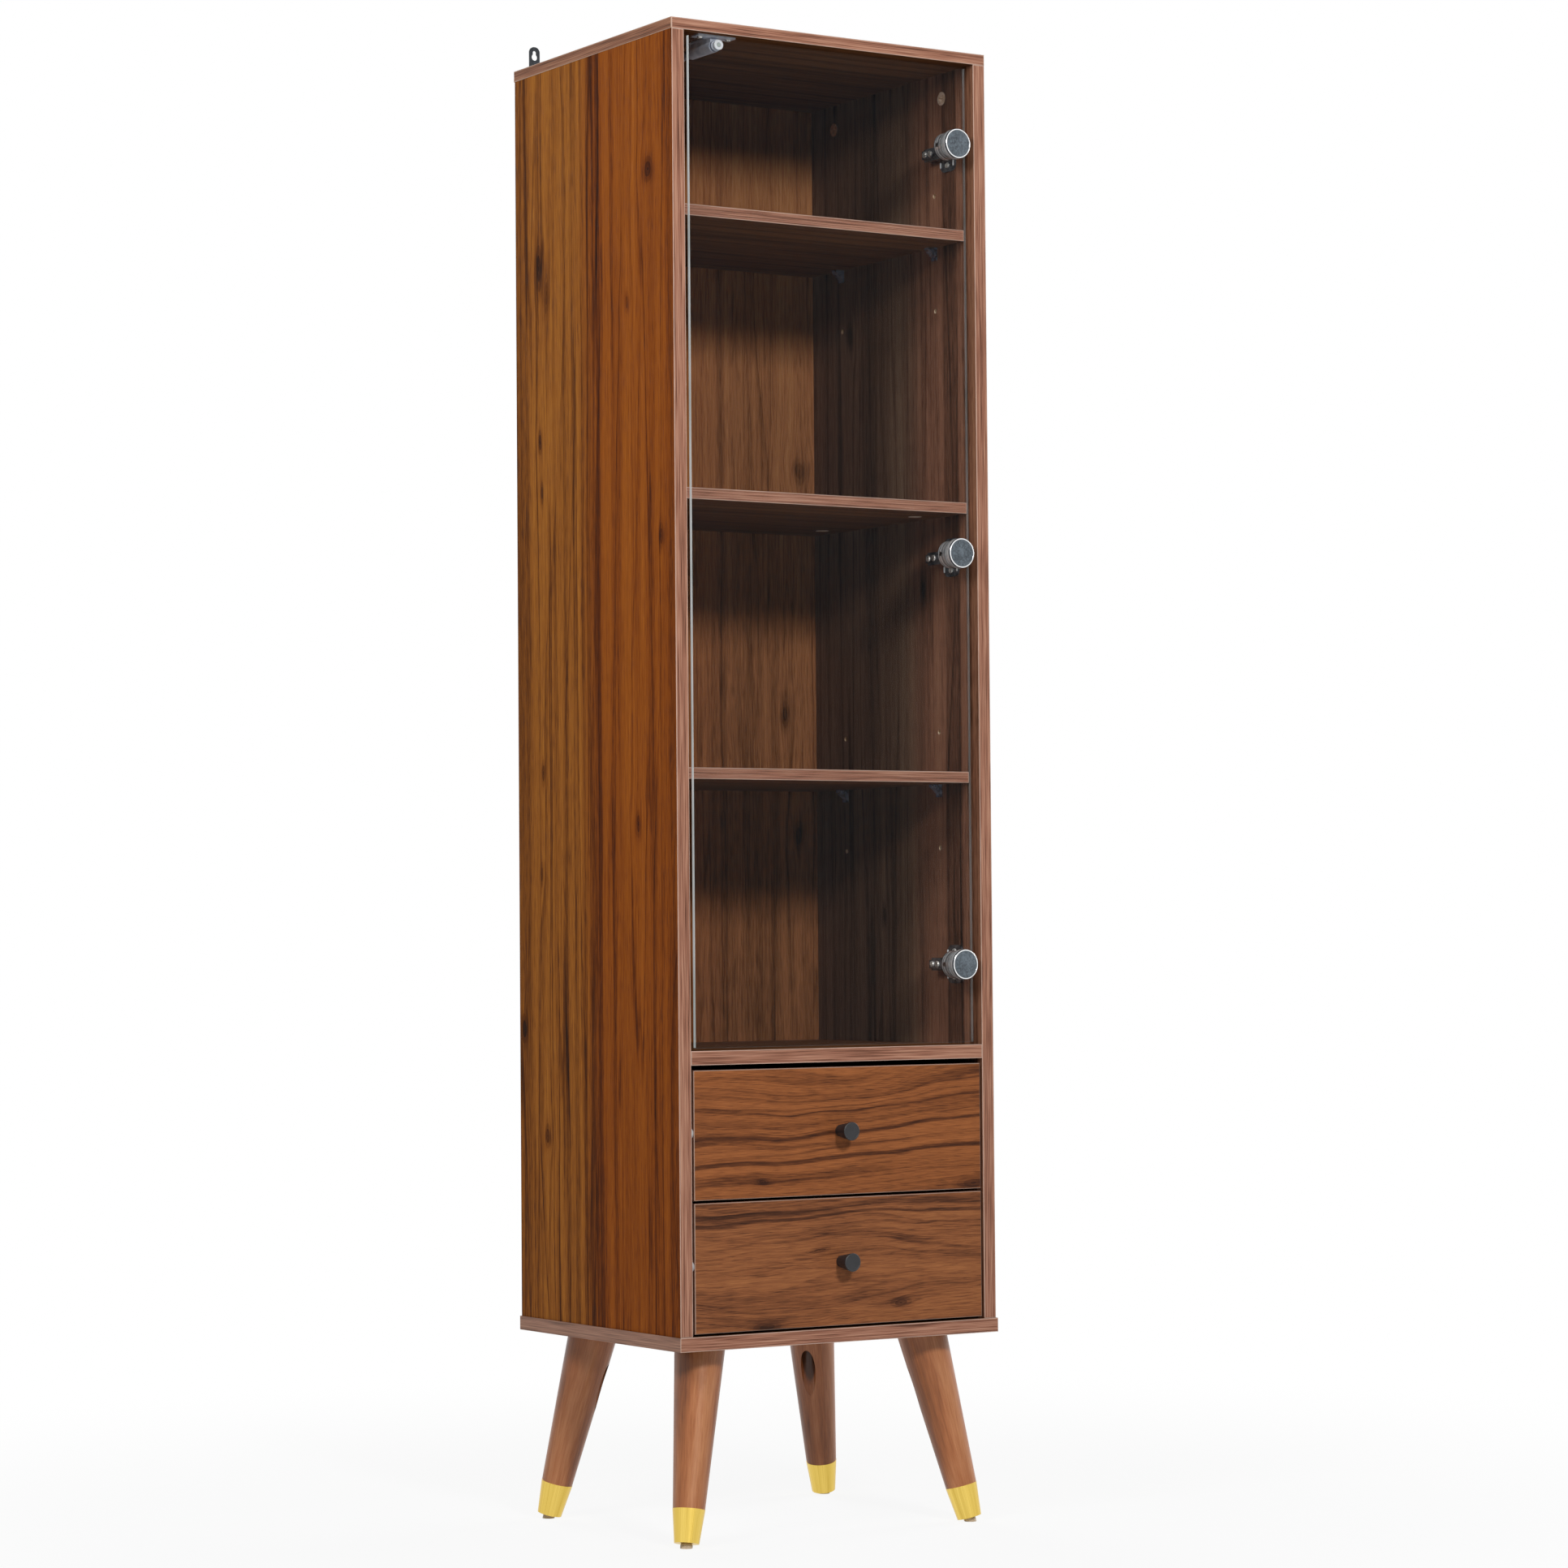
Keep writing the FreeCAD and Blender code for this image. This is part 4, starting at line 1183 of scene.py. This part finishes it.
@dataclass
class Fasteners:
    """Screws whose heads are seen."""

    bench: Bench
    wing: float = 0.014
    latch: tuple[Place, ...] = ((-0.1555, -0.142, 1.588), (-0.1205, -0.142, 1.588))
    bracket_x: float = 0.1745
    bracket_y: Pair = (0.15315, 0.16215)
    bracket_z: float = 1.6035
    runner_x: float = 0.1838
    runner_y: Pair = (-0.1085, 0.1015)
    runner_z: Pair = (0.2855, 0.42405)
    arm_x: float = 0.17
    arm_y: Pair = (-0.0965, -0.0865)
    knob_y: float = -0.1435
    wood: CrossScrew = CrossScrew(0.0032, 0.0018, 0.0016, 0.0105)
    machine: CrossScrew = CrossScrew(0.0035, 0.0018, 0.002, 0.0045)
    knob: CrossScrew = CrossScrew(0.004, 0.0018, 0.002, 0.025)

    def wood_places(self) -> list[tuple[Place, Place]]:
        """List the wood screws of hinge plates, latch, wall brackets and runners, in this order.

        Returns:
            Seat and direction of every screw.
        """
        right, up, down = (1.0, 0.0, 0.0), (0.0, 0.0, 1.0), (0.0, 0.0, -1.0)
        places = [((PLATE_X, PLATE_Y, z + rise), right)
                  for _, z in HINGES for rise in (-self.wing, self.wing)]
        places += [(place, up) for place in self.latch]
        places += [((x, y, self.bracket_z), down)
                   for x in (-self.bracket_x, self.bracket_x) for y in self.bracket_y]
        places += [((side * self.runner_x, y, z), (side, 0.0, 0.0))
                   for z in self.runner_z for side in (-1.0, 1.0) for y in self.runner_y]
        return places

    def build(self) -> None:
        """Make the groups of screws."""
        add = self.bench.add
        zinc = MetalFinish("screw_zinc", "a9a6a1", "f2efe9", 0.6, spread=0.18).material()
        shapes = [self.wood.placed(seat, way, 0.7 * i)
                  for i, (seat, way) in enumerate(self.wood_places())]
        add("cross_wood_screws", gather(shapes), zinc, "carcass", "zinc", ("wood_screws",))
        shapes = [self.machine.placed((self.arm_x, y, z), (1.0, 0.0, 0.0), 0.5 + y * 60)
                  for _, z in HINGES for y in self.arm_y]
        add("cross_arm_screws", gather(shapes), zinc, "carcass", "zinc", ("hinge_arm_screws",))
        for name, level in KNOBS.items():
            screw = self.knob.placed((0.0, self.knob_y, level), (0.0, -1.0, 0.0), 0.4)
            add(f"cross_knob_screw_{name}", screw, zinc, f"drawer_{name}", "zinc",
                (f"drawer_{name}_knob_screw",))


@dataclass
class Door:
    """Glass door with its three hinges."""

    bench: Bench
    cap_x: float = 0.160762
    cap_y: float = -0.1565
    radius: float = 0.0165
    thickness: float = 0.008
    rim: float = 0.0016
    ease: float = 0.0006
    dish: float = 0.0003
    shoulder: float = 0.0013
    spigot: Pair = (0.004, -0.0034)
    rib: Place = (0.0014, 0.0018, 0.0065)
    rib_side: float = 0.0122
    rib_up: float = 0.0127

    def ribs(self, height: float) -> BMesh:
        """Raised sides of a hinge plate's two wings.

        Args:
            height: Height of the hinge.

        Returns:
            The four ribs, in place.
        """
        shapes = []
        for side in (-self.rib_side, self.rib_side):
            for way in (-self.rib_up, self.rib_up):
                shape = bmesh.new()
                middle = (PLATE_X - self.rib[0] / 2, PLATE_Y + side, height + way)
                stand = Matrix.Translation(middle) @ Matrix.Diagonal((*self.rib, 1.0))
                bmesh.ops.create_cube(shape, size=1.0, matrix=stand)
                soften(shape, shape.edges, self.ease, 3)
                shapes.append(shape)
        return gather(shapes)

    def cap(self, height: float) -> BMesh:
        """Turned cap with a bright rim round a filmed face.

        Args:
            height: Height of the hinge.

        Returns:
            The cap, in place, with its film attribute.
        """
        wide, top = self.radius, self.thickness
        flat, floor = wide - self.rim, top - self.dish
        stub, foot = self.spigot
        outline = [(0.0, foot), (stub, foot), (stub, 0.0), (wide - self.ease, 0.0),
                   (wide, self.ease), (wide, top), (flat, top), (flat - 0.0002, floor),
                   (0.0, floor)]
        shape = turned(outline, 64)
        film = shape.verts.layers.float.new("film")
        for vert in shape.verts:
            vert[film] = float(off_axis(vert) < flat - 0.0001 and vert.co.z > top / 2)
        shoulder = [edge for edge in shape.edges if all(
            abs(vert.co.z - top) < TINY and off_axis(vert) > flat + 1e-5 for vert in edge.verts)]
        soften(shape, shoulder, self.shoulder, 4)
        return face_front(shape, (self.cap_x, self.cap_y, height))

    def build(self) -> None:
        """Dress the pane and the hinges, and make the caps and ribs."""
        bench = self.bench
        # Painted highlight: the turned chrome of caps and cups is half diffuse with a white high
        # tone, so the lamps light it as if it mirrored light surroundings.
        chrome = MetalFinish("turned_chrome_painted_highlight", "54575c", "ffffff", 0.5, 0.08, 0.12, turned=0.7,
                             film="727c85").material()
        # Painted reflection: the chrome of the hinge arms and plates gets a dark base that stands
        # in for the dark wood it mirrors.
        painted_reflection_chrome = MetalFinish("pressed_chrome_painted_reflection", "3c3f43", "8a8d92", 0.6, 0.07, 0.12,
                              130.0).material()
        # Painted highlight: the plate ribs are near white and hardly metallic, standing in for
        # their mirror highlights.
        bright = MetalFinish("rib_chrome_painted_highlight", "e6e8ea", "ffffff", 0.1, 0.08, 0.08).material()
        low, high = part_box("glass_door")
        bench.dress(PaneGlass(high.x, high.z, low.z).material(), "glass_door")
        for name, height in HINGES:
            bench.add(f"turned_cap_{name}", self.cap(height), chrome, "door", "chrome",
                      (f"hinge_cap_{name}",))
            bench.add(f"plate_ribs_{name}", self.ribs(height), bright, "carcass", "chrome")
            bench.dress(chrome, f"hinge_cup_{name}")
            bench.dress(painted_reflection_chrome, f"hinge_arm_{name}", f"hinge_plate_{name}")
        zinc = MetalFinish("pin_zinc", "7d7b77", "b3b0aa", rough=0.3, spread=0.2).material()
        bench.dress(zinc, "hinge_pins", "hinge_grub_screws")


@dataclass
class TouchLatch:
    """Tubular latch under the top."""

    bench: Bench
    bore: float = 0.0043
    collar: float = 0.0058
    lip: float = 0.001

    def ring(self, middle: Vector) -> BMesh:
        """Rounded ring round the mouth of the tube.

        Args:
            middle: Middle of the mouth.

        Returns:
            The ring, in place.
        """
        ease = self.lip * 0.45
        inner, outer, top, side = self.bore, self.collar, self.lip, self.lip - ease
        outline = [(inner, 0.0), (inner, side), (inner + ease, top), (outer - ease, top),
                   (outer, side), (outer, 0.0), (inner, 0.0)]
        return face_front(turned(outline, 48), middle)

    def build(self) -> None:
        """Dress the latch and make its ring."""
        bench = self.bench
        low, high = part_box("latch_body")
        mouth = Vector(((low.x + high.x) / 2, low.y, (low.z + high.z) / 2))
        grey = PlasticFinish("latch_grey", "7b8192", "9aa0b0", rough=0.3).material()
        bench.dress(grey, "latch_body")
        pale = PlasticFinish("latch_pale_grey", "bcc2d0", "dfe3ec", rough=0.3).material()
        bench.dress(pale, "latch_cradle")
        bench.add("latch_mouth_ring", self.ring(mouth), pale, "carcass", "latch_plastic")
        bench.dress(LatchEndFinish(mouth.x, mouth.z).material(), "latch_plunger", "latch_strike")


RUNNER_STEEL = MetalFinish("runner_steel", "8c8f93", "b9bcc0", rough=0.25, spread=0.15)
UPPER_FRONT = WalnutPrint(
    14.0, planks=26.0, lines=34.0, veins=0.17, sway=0.010, roll=5.0, tilt=0.04,
    bands=(Band(0.452, 0.008, 0.10, 0.006), Band(0.402, 0.0012, 0.34, 0.002),
           Band(0.431, 0.0010, 0.26, 0.002)),
    knots=(Knot(0.384, -0.098, 0.003, 0.007, 0.6), Knot(0.36, 0.172, 0.006, 0.018, 0.5),
           Knot(0.512, 0.0, 0.020, 0.045, 0.0, 0.75)))
LOWER_FRONT = WalnutPrint(
    17.5, ("2a160c", "593421", "8d5635", "a96c42", "c38a58"),
    lines=26.0, veins=0.17, sway=0.013, roll=5.5, tilt=0.02,
    bands=(Band(0.354, 0.008, 0.16, 0.006), Band(0.338, 0.001, 0.26, 0.002)),
    knots=(Knot(0.2425, 0.076, 0.004, 0.012, 0.7), Knot(0.234, -0.094, 0.006, 0.016, 0.5),
           Knot(0.304, -0.027, 0.002, 0.012, 0.6, 0.3),
           Knot(0.271, -0.02, 0.015, 0.048, 0.04, 0.8)))


@dataclass
class Drawer:
    """One drawer with its knob."""

    bench: Bench
    name: str
    print: WalnutPrint
    front_y: float = -0.1585
    length: float = 0.023
    foot: float = 0.0063
    face: float = 0.010
    rounding: float = 0.0011
    foot_ease: Pair = (0.0001, 0.0008)
    rim: float = 0.0014
    step: Pair = (0.0003, 0.0002)
    sink: float = 0.0003

    def knob(self) -> BMesh:
        """Turned knob: a flared cone with a rounded rim and a slightly dished face.

        Returns:
            The knob, in place.
        """
        ease, lift = self.foot_ease
        dish, end, (inward, down) = self.face - self.rim, self.length, self.step
        outline = [(0.0, 0.0), (self.foot, 0.0), (self.foot + ease, lift), (self.face, end),
                   (dish, end), (dish - inward, end - down), (0.0, end - self.sink)]
        shape = turned(outline, 56)
        rim = [edge for edge in shape.edges
               if all(abs(off_axis(vert) - self.face) < TINY for vert in edge.verts)]
        soften(shape, rim, self.rounding, 4)
        return face_front(shape, (0.0, self.front_y, KNOBS[self.name]))

    def build(self) -> None:
        """Dress the box and make the knob."""
        bench, own = self.bench, f"drawer_{self.name}"
        # The drawer front's pale arris colour is partly wear and partly a painted highlight.
        front = BoardFinish(Axis.Y, Axis.Z, Axis.X, self.print, cut=CutEdge.FOILED,
                            flat=(0.1, 0.4), arris="b59a8a", sheen=Sheen(0.42, 0.12, 0.12))
        bench.dress(front.material(f"{own}_front"), f"{own}_front")
        inner = WalnutPrint(21.0, planks=16.0, lines=20.0)
        for part, face, across, along in (("sides", Axis.X, Axis.Z, Axis.Y),
                                          ("back", Axis.Y, Axis.Z, Axis.X),
                                          ("bottom", Axis.Z, Axis.Y, Axis.X)):
            finish = BoardFinish(face, across, along, inner, cut=CutEdge.FOILED)
            bench.dress(finish.material(f"{own}_{part}"), f"{own}_{part}")
        black = PlasticFinish("knob_black", "131316", "1d1d21", rough=0.36, grain=1500.0)
        bench.add(f"turned_knob_{self.name}", self.knob(), black.material(), own, "knob_black",
                  (f"{own}_knob",))
        steel = replace(RUNNER_STEEL, name=f"slide_steel_{self.name}")
        bench.dress(steel.material(), f"{own}_slides")


@dataclass
class Legs:
    """Splayed legs with brass ferrules."""

    bench: Bench

    def build(self) -> None:
        """Dress the legs and their hardware."""
        corners = [f"leg_{end}_{side}" for end in ("front", "back") for side in ("left", "right")]
        for finish, *names in (
                (LegWood(), *corners), (BrushedBrass(), "leg_ferrules"),
                (PlasticFinish("glide_plastic", "b9a38a", "dccbb6", rough=0.4), "leg_glides"),
                (MetalFinish("leg_bolt_steel", "55565a", "86888c", 1.0, 0.3, 0.2), "leg_bolts")):
            self.bench.dress(finish.material(), *names)


@dataclass
class SteelParts:
    """Wall brackets and runner channels."""

    bench: Bench

    def build(self) -> None:
        """Dress them."""
        dark = MetalFinish("bracket_steel", "26282c", "3a3d42", 0.6, 0.36, 0.2)
        self.bench.dress(dark.material(), "wall_bracket_left", "wall_bracket_right")
        self.bench.dress(RUNNER_STEEL.material(), "runner_channels")


@dataclass
class Studio:
    """Pale floor, soft lamps, white surround and the camera."""

    ambient: float = 0.045
    ambient_tint: Colour = (0.5, 0.85, 1.0, 1.0)
    floor_reach: float = 9.0
    floor_tones: tuple[str, str] = ("d8d8d8", "e0e0e0")
    lamps: tuple[tuple[str, Place, Place, float, float], ...] = (
        ("front_lamp", (-0.6, -4.0, 2.5), (0.0, 0.0, 0.95), 0.7, 99.0),
        ("left_lamp", (-2.4, -1.0, 2.4), (-0.2, 0.0, 1.1), 1.0, 34.0),
        ("right_lamp", (3.6, 0.4, 1.9), (0.2, 0.0, 0.9), 1.8, 70.0),
        ("back_lamp", (0.4, 3.8, 2.2), (0.0, 0.2, 0.9), 1.8, 70.0))
    lens: float = 100.08
    sensor: float = 36.0
    camera_place: Place = (-2.545, -4.0475, 0.637)
    camera_axes: tuple[Place, Place, Place] = (
        (0.84352, -0.53705, -0.00792), (-0.01207, -0.03369, 0.99936),
        (-0.53697, -0.84288, -0.0349))

    def floor(self) -> None:
        """Pale floor that keeps the shadow and fades into the white surround."""
        shape = bmesh.new()
        bmesh.ops.create_circle(shape, cap_ends=True, segments=96, radius=self.floor_reach)
        mesh = bpy.data.meshes.new("studio_floor")
        shape.to_mesh(mesh)
        shape.free()
        shader = Shader.named("pale_floor")
        x, y, _ = shader.place()
        far = ((x * x + y * y) ** 0.5).rise(0.45, 1.7)
        speck = shader.noise((x, y, 0.0), 40.0)
        colour = shader.mix(speck, *self.floor_tones)
        matt = shader.node("BsdfDiffuse", None, {"Color": colour})
        white = shader.node("Emission", None, {"Color": WHITE, "Strength": 1.0})
        blend = shader.node("MixShader", None, {
            0: shader.seen() * (far * 0.1 + 0.9), 1: shader.out(matt), 2: shader.out(white)})
        shader.node("OutputMaterial", None, {"Surface": shader.out(blend)})
        mesh.materials.append(shader.owner)
        floor = stood("studio_floor", mesh)

    def surround(self) -> None:
        """World that is white to the eye and gives a low, even light."""
        world = bpy.data.worlds.new("white_surround")
        bpy.context.scene.world = world
        shader = Shader(world)
        seen = shader.seen()
        light = shader.node("Background", None, {
            "Color": shader.mix(seen, self.ambient_tint, WHITE),
            "Strength": seen * (1.0 - self.ambient) + self.ambient})
        shader.node("OutputWorld", None, {"Surface": shader.out(light)})

    def light(self) -> None:
        """Soft lamps round the cabinet."""
        for name, stand, aim, size, power in self.lamps:
            lamp = bpy.data.lights.new(name, "AREA")
            lamp.shape, lamp.size, lamp.energy = "DISK", size, power
            holder = stood(name, lamp)
            way = Vector(aim) - Vector(stand)
            holder.location = stand
            holder.rotation_euler = way.to_track_quat("-Z", "Y").to_euler()

    def camera(self) -> None:
        """Camera at the photograph's place, with a long lens."""
        lens = bpy.data.cameras.new("camera")
        lens.lens, lens.sensor_width = self.lens, self.sensor
        holder = stood("camera", lens)
        turn = Matrix(self.camera_axes).transposed().to_4x4()
        holder.matrix_world = Matrix.Translation(self.camera_place) @ turn
        bpy.context.scene.camera = holder

    def build(self) -> None:
        """Set everything up."""
        self.floor()
        self.surround()
        self.light()
        self.camera()
        bpy.context.scene.view_settings.view_transform = "Standard"


def main() -> None:
    """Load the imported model, dress it, add its trim and set up the studio."""
    logging.basicConfig(level=logging.INFO, format="%(message)s")
    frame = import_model()
    bench = Bench(frame["nodes"])
    builders = [Carcass(bench), Fasteners(bench), Door(bench), TouchLatch(bench),
                Drawer(bench, "upper", UPPER_FRONT), Drawer(bench, "lower", LOWER_FRONT),
                Legs(bench), SteelParts(bench), Studio()]
    for builder in builders:
        log.info("building %s", type(builder).__name__)
        builder.build()


if __name__ == "__main__":
    main()
